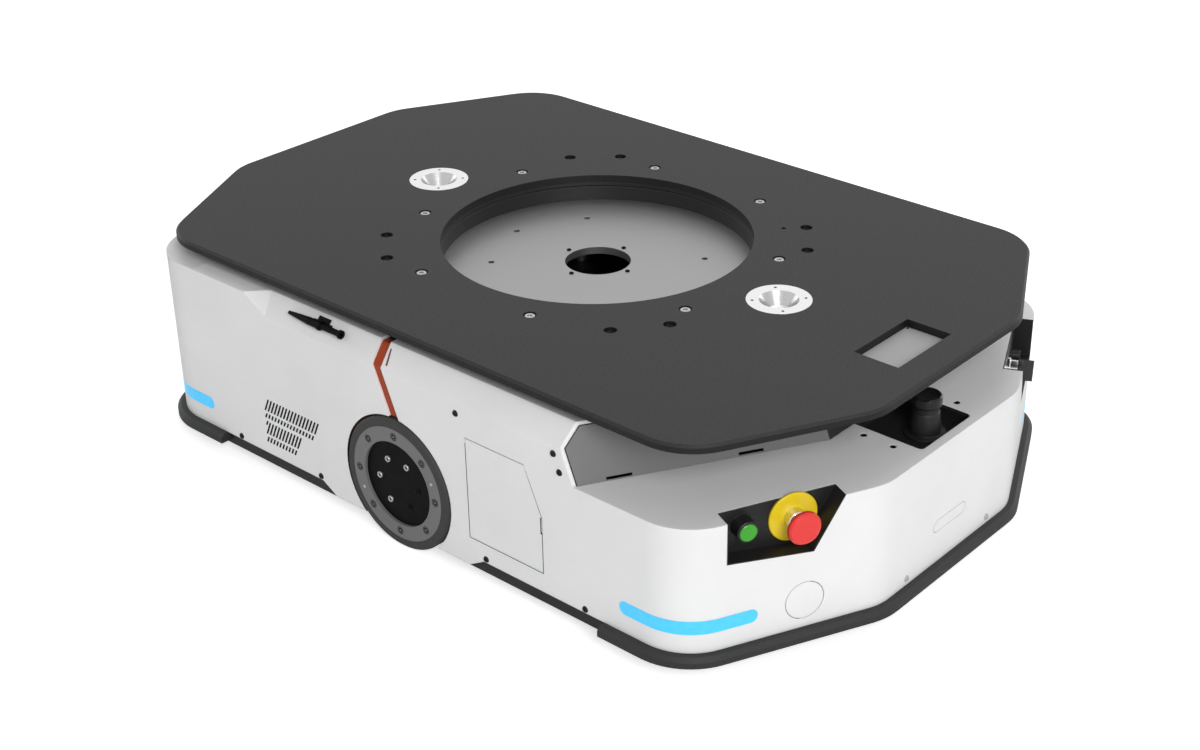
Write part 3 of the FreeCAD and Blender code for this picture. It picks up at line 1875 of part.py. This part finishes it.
def build_nodes():
    nodes = [make_front_cover(), make_rear_cover()]
    side_panels, middle_panel = make_bulkheads()
    nodes += [side_panels, group("lidar_tray", make_lidar_well(), middle_panel)]
    nodes += [make_top_panel(), make_wheel_arch_trims(), make_access_door()]
    nodes += [make_cover_plugs(), make_cover_screws(), make_bumper(1), make_bumper(-1)]
    strips = [light_band(x, y, 0.0, S.light_depth, 0.0) for x in (-1, 1) for y in (-1, 1)]
    nodes.append(group("corner_lights", *strips))
    nodes += [make_base_frame(), make_castor_bridges(), make_frame_rails(), make_lift_base()]
    for side in (-1, 1):
        nodes.append(make_drive_unit(side))
        nodes += list(make_wheel(side))
    for end, x in (("front", S.castor_x), ("rear", -S.castor_x)):
        for side, y in (("right", -S.castor_y), ("left", S.castor_y)):
            nodes.append(place(make_castor_fork(f"{end}_{side}_castor_fork"), x, y, 0.0))
            wheel = make_castor_wheel(f"{end}_{side}_castor_wheel")
            nodes.append(place(wheel, x - S.castor_trail, y, S.castor_radius, TO_RIGHT))
    nodes += [make_lift_table(), make_guide_posts(), make_lift_screws(), make_inner_ring()]
    nodes += [make_lift_nut("front_lift_nut", S.screw_place)]
    nodes += [make_lift_nut("rear_lift_nut", -S.screw_place)]
    nodes += [make_slew_motor(), make_pinion(), make_outer_ring(), make_top_plate()]
    nodes += [make_plate_screws(), make_locating_cups()]
    nodes.append(
        block(
            "window_panel",
            (S.window_near - 6, -S.window_half - 6, S.plate_top - S.plate_thickness - 3),
            (S.window_far + 6, S.window_half + 6, S.plate_top - S.plate_thickness),
            4.0,
        )
    )
    controls, start_bezel = make_controls()
    nodes.append(group("control_trays", make_tray(-1), make_tray(1), start_bezel))
    nodes += controls
    nodes += list(make_lidar())
    nodes.append(make_cable_boot())
    nodes.append(block("battery", (-440.0, -148.0, 52.0), (-250.0, 148.0, 148.0), 10.0))
    nodes.append(block("control_box", (250.0, -148.0, 52.0), (425.0, 148.0, 165.0), 10.0))
    motor = turned("lift_motor", [(0.0, 60.0), (32.0, 60.0), (35.0, 64.0), (35.0, 140.0), (0.0, 140.0)])
    nodes.append(place(motor, 90.0, 0.0, S.bridge_height - 140))
    eye = turned(
        "up_camera",
        [(0.0, 0.0), (34.0, 0.0), (34.0, 40.0), (26.0, 48.0), (26.0, 62.0), (0.0, 62.0)],
    )
    nodes.append(place(eye, 0.0, 0.0, S.bridge_height + 10))
    return nodes


NODES = build_nodes()
document.recompute()
os.makedirs("parts", exist_ok=True)
for item in document.Objects:
    if "Invalid" in item.State or "Error" in item.State:
        raise RuntimeError(f"{item.Label} did not build: {item.State}")
for node in NODES:
    shape = node.Shape
    if shape.isNull() or not shape.isValid() or not shape.Solids:
        raise RuntimeError(f"{node.Label} has no sound solid")
    shape.exportStep(os.path.join("parts", f"{node.Label}.step"))
print(len(NODES), "nodes written")
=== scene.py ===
import json
import math

import bmesh
import bpy
from mathutils import Matrix, Vector


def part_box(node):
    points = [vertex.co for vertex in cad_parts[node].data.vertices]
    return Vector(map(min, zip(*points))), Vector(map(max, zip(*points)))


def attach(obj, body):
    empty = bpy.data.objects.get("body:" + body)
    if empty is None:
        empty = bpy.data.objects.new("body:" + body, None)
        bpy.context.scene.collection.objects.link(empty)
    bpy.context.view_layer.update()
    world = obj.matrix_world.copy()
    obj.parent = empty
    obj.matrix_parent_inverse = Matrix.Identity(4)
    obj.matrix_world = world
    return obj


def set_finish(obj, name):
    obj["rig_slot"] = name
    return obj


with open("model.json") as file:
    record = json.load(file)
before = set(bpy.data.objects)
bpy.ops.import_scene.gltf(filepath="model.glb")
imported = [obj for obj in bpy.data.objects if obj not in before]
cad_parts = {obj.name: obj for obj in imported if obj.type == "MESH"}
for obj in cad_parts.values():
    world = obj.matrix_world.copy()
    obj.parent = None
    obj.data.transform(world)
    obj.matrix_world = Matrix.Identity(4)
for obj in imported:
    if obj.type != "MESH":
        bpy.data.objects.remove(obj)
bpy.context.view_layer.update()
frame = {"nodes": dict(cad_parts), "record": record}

nodes = frame["nodes"]
cad_nose, cad_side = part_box("front_cover")[1][:2]

# All sizes and places are in metres.

# Where each locating cup stands, and how far its screws are from its middle along X and along Y.
CUP_RADIUS = 0.040
CUP_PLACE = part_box("locating_cups")[1][0] - CUP_RADIUS
CUP_SCREW_CIRCLE = 0.0325
CUP_SCREW_STEP = CUP_SCREW_CIRCLE * math.sqrt(0.5)
CUP_SCREW_RADIUS = 0.0019

# The covers' skin, the part of their sides that has openings, and the height where undersides start;
# these bound the painted shade on the covers.
COVER_WALL = 0.0038
OPENINGS_TOP = 0.190
OPENINGS_NEAR = 0.06
OPENINGS_FAR = 0.43
COVER_CEILING = 0.15
NOSE_DEPTH = 0.006

# Circles of screws.
HUB_CIRCLE = 0.0325
RING_CIRCLE = 0.0655
TABLE_CIRCLE = 0.0505

# Screws in the front deck, counted inwards from the front and the sides of the scanner's tray.
DECK_TOP = 0.197
DECK_SCREW_SINK = 0.0022
DECK_SCREWS_FROM_FRONT = (0.074, 0.0335)
DECK_SCREWS_FROM_SIDE = 0.033

# Screws in the window panel, counted inwards from its edges.
WINDOW_SCREW_INSET = 0.0088

# The painted shadow bar beside the trim on each shoulder, on the left side, and the access door's catch.
SHADOW_BAR_TOP = (-0.0147, 0.3462, 0.2582)
SHADOW_BAR_FOOT = (-0.0095, 0.3598, 0.2446)
SHOULDER_NORMAL = (0.0, 0.72, 0.69)
CATCH_FROM_EDGE = 0.0014
CATCH_DEPTH = 0.0016
CATCH_HEIGHTS = (0.1175, 0.1335)

UP = Vector((0, 0, 1))


# ---------------------------------------------------------------- colours


def grey(value, tint=0.0):
    """A grey, with a little more or less blue."""
    return (value, value, value * (1 + tint), 1.0)


def scaled(color, factor):
    """The same colour, darker or lighter."""
    return tuple(min(1.0, part * factor) for part in color[:3]) + (1.0,)


# ---------------------------------------------------------------- materials


class Graph:
    """A short way to write a node material with surface detail in metres."""

    def __init__(self, name):
        self.material = bpy.data.materials.new(name)
        self.material.use_nodes = True
        self.start()

    @classmethod
    def resume(cls, material):
        """Go on with a material made earlier."""
        graph = cls.__new__(cls)
        graph.material = material
        graph.start()
        return graph

    def start(self):
        """Find the shader, and make the coordinates that the other nodes start from."""
        self.tree = self.material.node_tree
        self.shader = self.tree.nodes["Principled BSDF"]
        self.place = self.add("ShaderNodeTexCoord").outputs["Object"]
        self.normal = self.place.node.outputs["Normal"]

    def add(self, kind, **inputs):
        node = self.tree.nodes.new(kind)
        for key, value in inputs.items():
            self.set(node, key.replace("_", " "), value)
        return node

    def set(self, node, key, value):
        """Link a socket or write a constant into an input, given by name or number."""
        if isinstance(value, bpy.types.NodeSocket):
            self.tree.links.new(value, node.inputs[key])
        else:
            node.inputs[key].default_value = value

    def parts(self, vector):
        """The X, Y and Z of a vector."""
        return self.add("ShaderNodeSeparateXYZ", Vector=vector).outputs

    def noise(self, scale, detail=3.0, stretch=None):
        place = self.place
        if stretch:
            mapping = self.add("ShaderNodeMapping", Vector=place, Scale=stretch)
            place = mapping.outputs["Vector"]
        node = self.add("ShaderNodeTexNoise", Vector=place, Scale=scale, Detail=detail)
        return node.outputs["Fac"]

    def ramp(self, value, low, high, start=0.3, end=0.7):
        node = self.add("ShaderNodeMapRange", Value=value)
        for key, number in (("From Min", start), ("From Max", end), ("To Min", low), ("To Max", high)):
            node.inputs[key].default_value = number
        return node.outputs["Result"]

    def math(self, operation, one, other=None):
        node = self.tree.nodes.new("ShaderNodeMath")
        node.operation = operation
        self.set(node, 0, one)
        if other is not None:
            self.set(node, 1, other)
        return node.outputs[0]

    def below(self, value, limit):
        return self.math("LESS_THAN", value, limit)

    def above(self, value, limit):
        return self.math("GREATER_THAN", value, limit)

    def both(self, *conditions):
        """One where every condition is one."""
        total = conditions[0]
        for condition in conditions[1:]:
            total = self.math("MULTIPLY", total, condition)
        return total

    def mix(self, factor, one, other):
        node = self.tree.nodes.new("ShaderNodeMix")
        node.data_type = "RGBA"
        self.set(node, "Factor", factor)
        first_color, second_color, mixed_color = 6, 7, 2
        self.set(node, first_color, one)
        self.set(node, second_color, other)
        return node.outputs[mixed_color]

    def bump(self, height, distance, strength, radius):
        """Fine relief on edges that are rounded by a radius."""
        node = self.add("ShaderNodeBump", Height=height, Distance=distance, Strength=strength)
        edge = self.tree.nodes.new("ShaderNodeBevel")
        edge.samples = 4
        edge.inputs["Radius"].default_value = radius
        self.set(node, "Normal", edge.outputs["Normal"])
        self.set(self.shader, "Normal", node.outputs["Normal"])

    def repaint(self, mask, color):
        """Another colour where the mask is one."""
        tone = self.shader.inputs["Base Color"].links[0].from_socket
        self.set(self.shader, "Base Color", self.mix(mask, tone, color))

    def finish(self, color, roughness, metallic=0.0, **more):
        self.set(self.shader, "Base Color", color)
        self.set(self.shader, "Roughness", roughness)
        self.set(self.shader, "Metallic", metallic)
        for key, value in more.items():
            self.set(self.shader, key.replace("_", " "), value)
        return self.material


def painted(name, color, roughness, grain, depth=0.00003, spread=0.03, radius=0.0012, **more):
    """Sprayed paint: fine orange peel, faint cloudiness, soft edges."""
    graph = Graph(name)
    clouds = graph.ramp(graph.noise(9.0, detail=4.0), 0.0, 1.0)
    tone = graph.mix(clouds, scaled(color, 1 - spread), scaled(color, 1 + spread))
    rough = graph.ramp(graph.noise(60.0), roughness * 0.9, roughness * 1.1)
    graph.bump(graph.noise(grain), depth, strength=0.6, radius=radius)
    return graph.finish(tone, rough, **more)


def textured(name, color, roughness, grain, depth=0.00012, spread=0.12, radius=0.001, **more):
    """Powder coat or moulded plastic: a fine pebbled grain with speckled tone."""
    graph = Graph(name)
    speck = graph.noise(grain, detail=2.0)
    tone = graph.mix(graph.ramp(speck, 0.0, 1.0), scaled(color, 1 - spread), scaled(color, 1 + spread))
    rough = graph.ramp(graph.noise(400.0), roughness * 0.92, roughness * 1.08)
    graph.bump(speck, depth, strength=0.8, radius=radius)
    return graph.finish(tone, rough, **more)


def metal(name, color, roughness, stretch=(1.0, 1.0, 1.0), grain=900.0):
    """Machined or brushed metal; its fine marks are shorter along an axis with a higher stretch."""
    graph = Graph(name)
    lines = graph.noise(grain, detail=2.0, stretch=stretch)
    tone = graph.mix(graph.ramp(lines, 0.0, 1.0), scaled(color, 0.88), color)
    rough = graph.ramp(lines, roughness * 0.8, roughness * 1.25)
    graph.bump(lines, 0.00002, strength=0.5, radius=0.0006)
    return graph.finish(tone, rough, metallic=1.0)


def glowing(name, color, strength):
    """A lit diffuser with faint clouds."""
    graph = Graph(name)
    tone = graph.mix(graph.ramp(graph.noise(120.0), 0.0, 1.0), color, scaled(color, 1.08))
    graph.bump(graph.noise(800.0), 0.00003, strength=0.4, radius=0.0008)
    material = graph.finish(tone, 0.3)
    graph.set(graph.shader, "Emission Color", tone)
    graph.set(graph.shader, "Emission Strength", strength)
    return material


def shell_paint_with_shade(name, color, shade_color, **more):
    """Sprayed paint outside, with painted shade: inner faces, the cut edges of side openings and high
    undersides get a dark colour that stands for the shade inside the covers.
    """
    graph = Graph.resume(painted(name, color, **more))
    place = graph.parts(graph.place)
    normal = graph.parts(graph.normal)
    far_side = graph.math("ABSOLUTE", place["Y"])
    far_ahead = graph.math("ABSOLUTE", place["X"])
    inner = graph.below(graph.math("MULTIPLY", place["Y"], normal["Y"]), -0.05)
    edge = graph.both(
        graph.above(far_side, cad_side - COVER_WALL),
        graph.below(graph.math("ABSOLUTE", normal["Y"]), 0.2),
        graph.below(place["Z"], OPENINGS_TOP),
        graph.below(far_ahead, OPENINGS_FAR),
        graph.above(far_ahead, OPENINGS_NEAR),
    )
    ceiling = graph.both(graph.below(normal["Z"], -0.5), graph.above(place["Z"], COVER_CEILING))
    # Painted shade: inner faces, the cut edges of the openings and high undersides take a dark colour as
    # if in shadow.
    painted_shade = graph.math("MAXIMUM", graph.math("MAXIMUM", inner, edge), ceiling)
    graph.repaint(painted_shade, shade_color)
    return graph.material


def rubber_top(name, top, rim, **more):
    """A pebbled mat on top of a plate whose upright edges and bores are plain black."""
    graph = Graph.resume(textured(name, top, **more))
    graph.repaint(graph.below(graph.parts(graph.normal)["Z"], 0.5), rim)
    return graph.material


def cup_metal(name, rim, cone, screw):
    """Turned steel: a bright rim with four dark screws flush in it, and a cone painted darker as shade
    that stands for its dark reflections.
    """
    graph = Graph.resume(metal(name, rim, 0.26))
    place = graph.parts(graph.place)
    sloped = graph.below(graph.parts(graph.normal)["Z"], 0.9)
    from_cup = graph.math("SUBTRACT", graph.math("ABSOLUTE", place["X"]), CUP_PLACE)
    along = graph.math("SUBTRACT", graph.math("ABSOLUTE", from_cup), CUP_SCREW_STEP)
    across = graph.math("SUBTRACT", graph.math("ABSOLUTE", place["Y"]), CUP_SCREW_STEP)
    squares = [graph.math("MULTIPLY", part, part) for part in (along, across)]
    on_screw = graph.below(graph.math("ADD", *squares), CUP_SCREW_RADIUS ** 2)
    # Painted shade: the sloped cone takes a darker grey than the rim, for its dark reflections.
    graph.repaint(sloped, cone)
    graph.repaint(on_screw, screw)
    return graph.material


def cover_screw_paint(name, color, nose_color):
    """Painted screws along the sides, and plain ones on the nose."""
    graph = Graph.resume(painted(name, color, 0.5, 1000.0, Specular_IOR_Level=0.2))
    graph.repaint(graph.above(graph.parts(graph.place)["X"], cad_nose - NOSE_DEPTH), nose_color)
    return graph.material


LOOKS = {
    # The white covers carry painted shade in near-black on inner faces, opening edges and undersides.
    "cover_white": shell_paint_with_shade(
        "cover_white", (0.82, 0.82, 0.825, 1.0), grey(0.02), roughness=0.38, grain=700.0, radius=0.0018
    ),
    "screw_black": cover_screw_paint("screw_black", grey(0.006), grey(0.45)),
    "panel_grey": metal("panel_grey", grey(0.155), 0.5, stretch=(1.0, 14.0, 14.0), grain=700.0),
    "plate_grey": rubber_top(
        "plate_grey", grey(0.0155, 0.02), grey(0.005), roughness=0.55, grain=420.0, depth=0.00016,
        spread=0.25, Specular_IOR_Level=0.30,
    ),
    "black_plastic": textured("black_plastic", grey(0.011), 0.42, 1400.0, Specular_IOR_Level=0.35),
    "bumper_black": textured("bumper_black", grey(0.022, 0.05), 0.6, 1100.0, Specular_IOR_Level=0.35),
    "trim_orange": painted(
        "trim_orange", (0.36, 0.047, 0.008, 1.0), 0.5, 1300.0, Specular_IOR_Level=0.3
    ),
    # Painted shadow: a dark brown for the bar along each trim's edge.
    "shadow_brown": painted("shadow_brown", (0.16, 0.022, 0.008, 1.0), 0.5, 1300.0),
    "light_cyan": glowing("light_cyan", (0.045, 0.40, 0.70, 1.0), 0.6),
    "brushed_steel": metal("brushed_steel", grey(0.37), 0.42, stretch=(1.0, 14.0, 1.0)),
    "chrome": metal("chrome", grey(0.72), 0.16),
    "zinc": metal("zinc", grey(0.50), 0.42),
    "rim_grey": textured("rim_grey", grey(0.15), 0.42, 1500.0, depth=0.00005),
    "hub_black": painted("hub_black", grey(0.0025), 0.5, 1000.0, Specular_IOR_Level=0.07),
    "tyre_black": textured("tyre_black", grey(0.028), 0.7, 900.0, depth=0.0001),
    "frame_black": textured("frame_black", grey(0.010), 0.5, 1200.0, Specular_IOR_Level=0.35),
    "stop_red": painted("stop_red", (0.78, 0.035, 0.03, 1.0), 0.3, 900.0),
    "stop_yellow": painted("stop_yellow", (0.83, 0.62, 0.01, 1.0), 0.35, 900.0),
    "start_green": painted("start_green", (0.04, 0.36, 0.015, 1.0), 0.28, 900.0),
    "lidar_dark": painted("lidar_dark", grey(0.006), 0.22, 900.0, Specular_IOR_Level=0.35),
    # The cone's grey is painted shade on the same steel as the rim.
    "cup_bright": cup_metal("cup_bright", grey(0.88), grey(0.50), grey(0.01)),
    "rubber_grey": textured("rubber_grey", grey(0.33, 0.04), 0.6, 1200.0),
    "caster_grey": textured("caster_grey", grey(0.22, 0.05), 0.6, 900.0),
    "motor_grey": metal("motor_grey", grey(0.35), 0.45),
    "window_light": painted("window_light", grey(0.375), 0.4, 900.0),
}

slots = {entry["node"]: entry["material_slot"] for entry in frame["record"]["subparts"]}
for name, item in nodes.items():
    item.data.materials.clear()
    item.data.materials.append(LOOKS[slots[name]])
nodes["cover_screws"].data.materials[0] = LOOKS["screw_black"]


# ---------------------------------------------------------------- stage, camera, light


def make_floor():
    """A pale floor that the camera sees as white, apart from the object's shadow."""
    reach, drop = 40.0, 0.0005
    hidden_glow, seen_glow = 0.05, 0.62
    corners = [(-reach, -reach, 0), (reach, -reach, 0), (reach, reach, 0), (-reach, reach, 0)]
    mesh = bpy.data.meshes.new("floor")
    mesh.from_pydata(corners, [], [(0, 1, 2, 3)])
    floor = bpy.data.objects.new("floor", mesh)
    bpy.context.scene.collection.objects.link(floor)
    floor.location.z = -drop
    graph = Graph("floor")
    tone = graph.mix(graph.ramp(graph.noise(3.0), 0.0, 1.0), grey(0.86), grey(0.88))
    seen = graph.add("ShaderNodeLightPath").outputs["Is Camera Ray"]
    graph.set(graph.shader, "Emission Color", grey(1.0))
    glow = graph.ramp(seen, hidden_glow, seen_glow, start=0.0, end=1.0)
    graph.set(graph.shader, "Emission Strength", glow)
    floor.data.materials.append(graph.finish(tone, 0.7))


def make_camera():
    data = bpy.data.cameras.new("camera")
    data.lens = 57.337
    data.shift_x = -0.0521
    data.shift_y = -0.0107
    data.clip_end = 200.0
    camera = bpy.data.objects.new("camera", data)
    camera.location = (1.50742, -1.65824, 1.29274)
    camera.rotation_euler = [math.radians(angle) for angle in (62.0677, 0.0492, 40.1201)]
    bpy.context.scene.collection.objects.link(camera)
    bpy.context.scene.camera = camera


def make_world():
    """Soft light on the object, and white wherever the camera, glass or gloss sees the world."""
    world = bpy.data.worlds.new("studio")
    bpy.context.scene.world = world
    world.use_nodes = True
    tree = world.node_tree
    tree.nodes.clear()
    path = tree.nodes.new("ShaderNodeLightPath").outputs
    seen = path["Is Camera Ray"]
    for ray in ("Is Transmission Ray", "Is Glossy Ray"):
        either = tree.nodes.new("ShaderNodeMath")
        either.operation = "MAXIMUM"
        tree.links.new(seen, either.inputs[0])
        tree.links.new(path[ray], either.inputs[1])
        seen = either.outputs[0]
    mix = tree.nodes.new("ShaderNodeMixShader")
    tree.links.new(seen, mix.inputs[0])
    hidden_strength, seen_strength = 0.30, 1.0
    for socket, strength in ((1, hidden_strength), (2, seen_strength)):
        background = tree.nodes.new("ShaderNodeBackground")
        background.inputs["Color"].default_value = grey(1.0)
        background.inputs["Strength"].default_value = strength
        tree.links.new(background.outputs[0], mix.inputs[socket])
    output = tree.nodes.new("ShaderNodeOutputWorld")
    tree.links.new(mix.outputs[0], output.inputs["Surface"])


def area_light(name, place, target, size, power):
    data = bpy.data.lights.new(name, "AREA")
    data.shape = "DISK"
    data.size = size
    data.energy = power
    light = bpy.data.objects.new(name, data)
    light.location = place
    light.rotation_euler = (Vector(target) - Vector(place)).to_track_quat("-Z", "Y").to_euler()
    bpy.context.scene.collection.objects.link(light)


make_floor()
make_camera()
make_world()
bpy.context.scene.view_settings.view_transform = "Standard"
area_light("key", (3.78, -2.48, 2.78), (0.2, -0.1, 0.1), size=2.4, power=152.0)
area_light("fill", (-2.4, -4.3, 1.5), (-0.3, 0.0, 0.1), size=3.0, power=9.0)
area_light("left", (1.4, 4.6, 1.1), (0.0, 0.0, 0.1), size=2.4, power=26.0)
area_light("rear", (-4.8, -0.9, 1.1), (0.0, 0.0, 0.1), size=2.4, power=24.0)
area_light("top", (-0.2, 1.4, 4.0), (0.0, 0.0, 0.2), size=3.0, power=36.0)


# ---------------------------------------------------------------- small pieces


def as_piece(name, form, material, slot):
    """An object made from a finished form."""
    mesh = bpy.data.meshes.new(name)
    form.to_mesh(mesh)
    form.free()
    mesh.materials.append(material)
    piece = bpy.data.objects.new(name, mesh)
    bpy.context.scene.collection.objects.link(piece)
    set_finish(piece, slot)
    return piece


def skinned(name, rows, look, slot):
    """A closed piece whose skin runs over rows of points, from the first row to the last."""
    form = bmesh.new()
    rows = [[form.verts.new(point) for point in row] for row in rows]
    for lower, upper in zip(rows, rows[1:]):
        for step in range(len(lower)):
            after = (step + 1) % len(lower)
            form.faces.new((lower[step], lower[after], upper[after], upper[step]))
    form.faces.new(rows[0][::-1])
    form.faces.new(rows[-1])
    return as_piece(name, form, LOOKS[look], slot)


def turned(name, rings, look, count=36):
    """A turned form from rings of radius, height and, for a socket, its number of sides."""
    rows = []
    for radius, height, sides in rings:
        row = []
        for step in range(count):
            angle = math.tau * step / count
            reach = radius
            if sides:
                part = math.tau / sides
                reach = radius * math.cos(part / 2) / math.cos(angle % part - part / 2)
            row.append((reach * math.cos(angle), reach * math.sin(angle), height))
        rows.append(row)
    return skinned(name, rows, look, look)


def bar(name, start, end, out, width, height, slot, body, look):
    """A slim bar with rounded ends that lies along a face."""
    along = (end - start).normalized()
    across = out.cross(along)
    steps = 8
    rows = []
    for level, shrink in ((-height, 1.0), (height * 0.6, 1.0), (height, 0.7)):
        row = []
        for centre, first in ((end, -90), (start, 90)):
            for step in range(steps + 1):
                angle = math.radians(first + 180 * step / steps)
                reach = along * math.cos(angle) + across * math.sin(angle)
                row.append(centre + reach * width / 2 * shrink + out * level)
        rows.append(row)
    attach(skinned(name, rows, look, slot), body)


def scatter(name, piece, body, places):
    """Copies of a small piece joined into one, each at a point and along a direction."""
    form = bmesh.new()
    for spot, outward in places:
        made = len(form.verts)
        form.from_mesh(piece.data)
        form.verts.ensure_lookup_table()
        turn = outward.to_track_quat("Z", "Y").to_matrix().to_4x4()
        bmesh.ops.transform(form, matrix=Matrix.Translation(spot) @ turn, verts=form.verts[made:])
    whole = as_piece(name, form, piece.data.materials[0], piece["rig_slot"])
    bpy.data.objects.remove(piece)
    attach(whole, body)


def socket_head(radius, height, socket, look):
    """A socket screw's head: bevelled rim, hexagonal well."""
    rings = [
        (radius, 0.0, 0),
        (radius, height * 0.75, 0),
        (radius * 0.9, height, 0),
        (socket * 1.12, height, 0),
        (socket, height * 0.9, 6),
        (socket, height * 0.35, 6),
    ]
    return turned("head", rings, look)


def circle_points(centre, radius, angles, axis):
    """Points around a centre, in the plane across the given axis."""
    points = []
    for angle in angles:
        across = radius * math.cos(math.radians(angle))
        along = radius * math.sin(math.radians(angle))
        offset = Vector((across, along, 0)) if axis.z else Vector((across, 0, along))
        points.append((Vector(centre) + offset, axis))
    return points


def upright_points(across, along, height):
    """The corners of a rectangle at a height, facing up."""
    return [(Vector((x, y, height)), UP) for x in across for y in along]


def dress_wheel(side, name):
    """Bolts and plugs in the hub, and screws and pins round the rim ring."""
    body = f"{name}_wheel"
    outward = Vector((0, side, 0))
    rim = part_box(f"{name}_rim")
    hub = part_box(f"{name}_hub")
    outer_corner = 1 if side > 0 else 0
    middle = (rim[0][2] + rim[1][2]) / 2

    hub_centre = (0, hub[outer_corner][1], middle)
    bright = circle_points(hub_centre, HUB_CIRCLE, (60, 120, 180, 240), outward)
    dull = circle_points(hub_centre, HUB_CIRCLE, (0, 300), outward)
    well = [(0.0023, 0.0, 6), (0.0023, 0.0012, 6)]
    scatter(f"{name}_hub_bolts", socket_head(0.0042, 0.0026, 0.0024, "zinc"), body, bright)
    scatter(f"{name}_hub_bolt_wells", turned("well", well, "hub_black"), body, bright)
    scatter(f"{name}_hub_plugs", socket_head(0.0040, 0.0010, 0.0024, "hub_black"), body, dull)

    rim_centre = (0, rim[outer_corner][1], middle)
    flat = [
        (0.0052, -0.0002, 0),
        (0.0052, 0.0001, 0),
        (0.0036, -0.00005, 0),
        (0.0030, 0.0001, 0),
        (0.0018, 0.0001, 6),
        (0.0018, -0.0001, 6),
    ]
    pin = [(0.0022, 0.0, 0), (0.0022, 0.0008, 0), (0.0012, 0.0012, 0)]
    screws = circle_points(rim_centre, RING_CIRCLE, range(0, 360, 45), outward)
    pins = circle_points(rim_centre, RING_CIRCLE, (21, 204), outward)
    scatter(f"{name}_ring_screws", turned("flat", flat, "hub_black"), body, screws)
    scatter(f"{name}_ring_pins", turned("pin", pin, "zinc", count=20), body, pins)


def dress_table():
    """Screws round the table's middle hole."""
    centre = (0, 0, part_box("lift_table")[1][2])
    places = circle_points(centre, TABLE_CIRCLE, (0, 90, 180, 270), UP)
    scatter("table_screws", socket_head(0.0030, 0.0012, 0.0014, "hub_black"), "lift", places)


def dress_deck():
    """Black socket screws that hold the scanner's tray under the front deck."""
    low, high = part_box("lidar_tray")
    across = [high[0] - inset for inset in DECK_SCREWS_FROM_FRONT]
    along = (low[1] + DECK_SCREWS_FROM_SIDE, high[1] - DECK_SCREWS_FROM_SIDE)
    places = upright_points(across, along, DECK_TOP - DECK_SCREW_SINK)
    scatter("deck_screws", socket_head(0.0039, 0.0018, 0.0020, "hub_black"), "chassis", places)


def dress_window():
    """Tiny screws at the corners of the window under the plate."""
    low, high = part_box("window_panel")
    across, along = ((low[axis] + WINDOW_SCREW_INSET, high[axis] - WINDOW_SCREW_INSET) for axis in (0, 1))
    places = upright_points(across, along, high[2])
    dot = [(0.0017, 0.0, 0), (0.0017, 0.0004, 0), (0.0011, 0.0007, 0)]
    scatter("window_screws", turned("dot", dot, "hub_black", count=16), "turntable", places)


def dress_sides():
    """A dark brown bar of painted shadow beside each trim, and the access door's catch."""
    for side, name in ((-1, "right_shadow_bar"), (1, "left_shadow_bar")):
        start, end, out = (Vector((x, side * y, z)) for x, y, z in (SHADOW_BAR_TOP, SHADOW_BAR_FOOT, SHOULDER_NORMAL))
        # Each bar is painted shadow along the trim's edge, kept under the trim's slot.
        bar(name, start, end, out.normalized(), 0.0026, 0.0003, "trim_orange", "chassis", "shadow_brown")
    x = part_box("right_access_door")[1][0] - CATCH_FROM_EDGE
    start, end = (Vector((x, CATCH_DEPTH - cad_side, z)) for z in CATCH_HEIGHTS)
    bar("door_catch", start, end, Vector((0, -1, 0)), 0.0022, 0.0008, "chrome", "access_door", "chrome")


dress_wheel(-1, "right")
dress_wheel(1, "left")
dress_table()
dress_deck()
dress_window()
dress_sides()
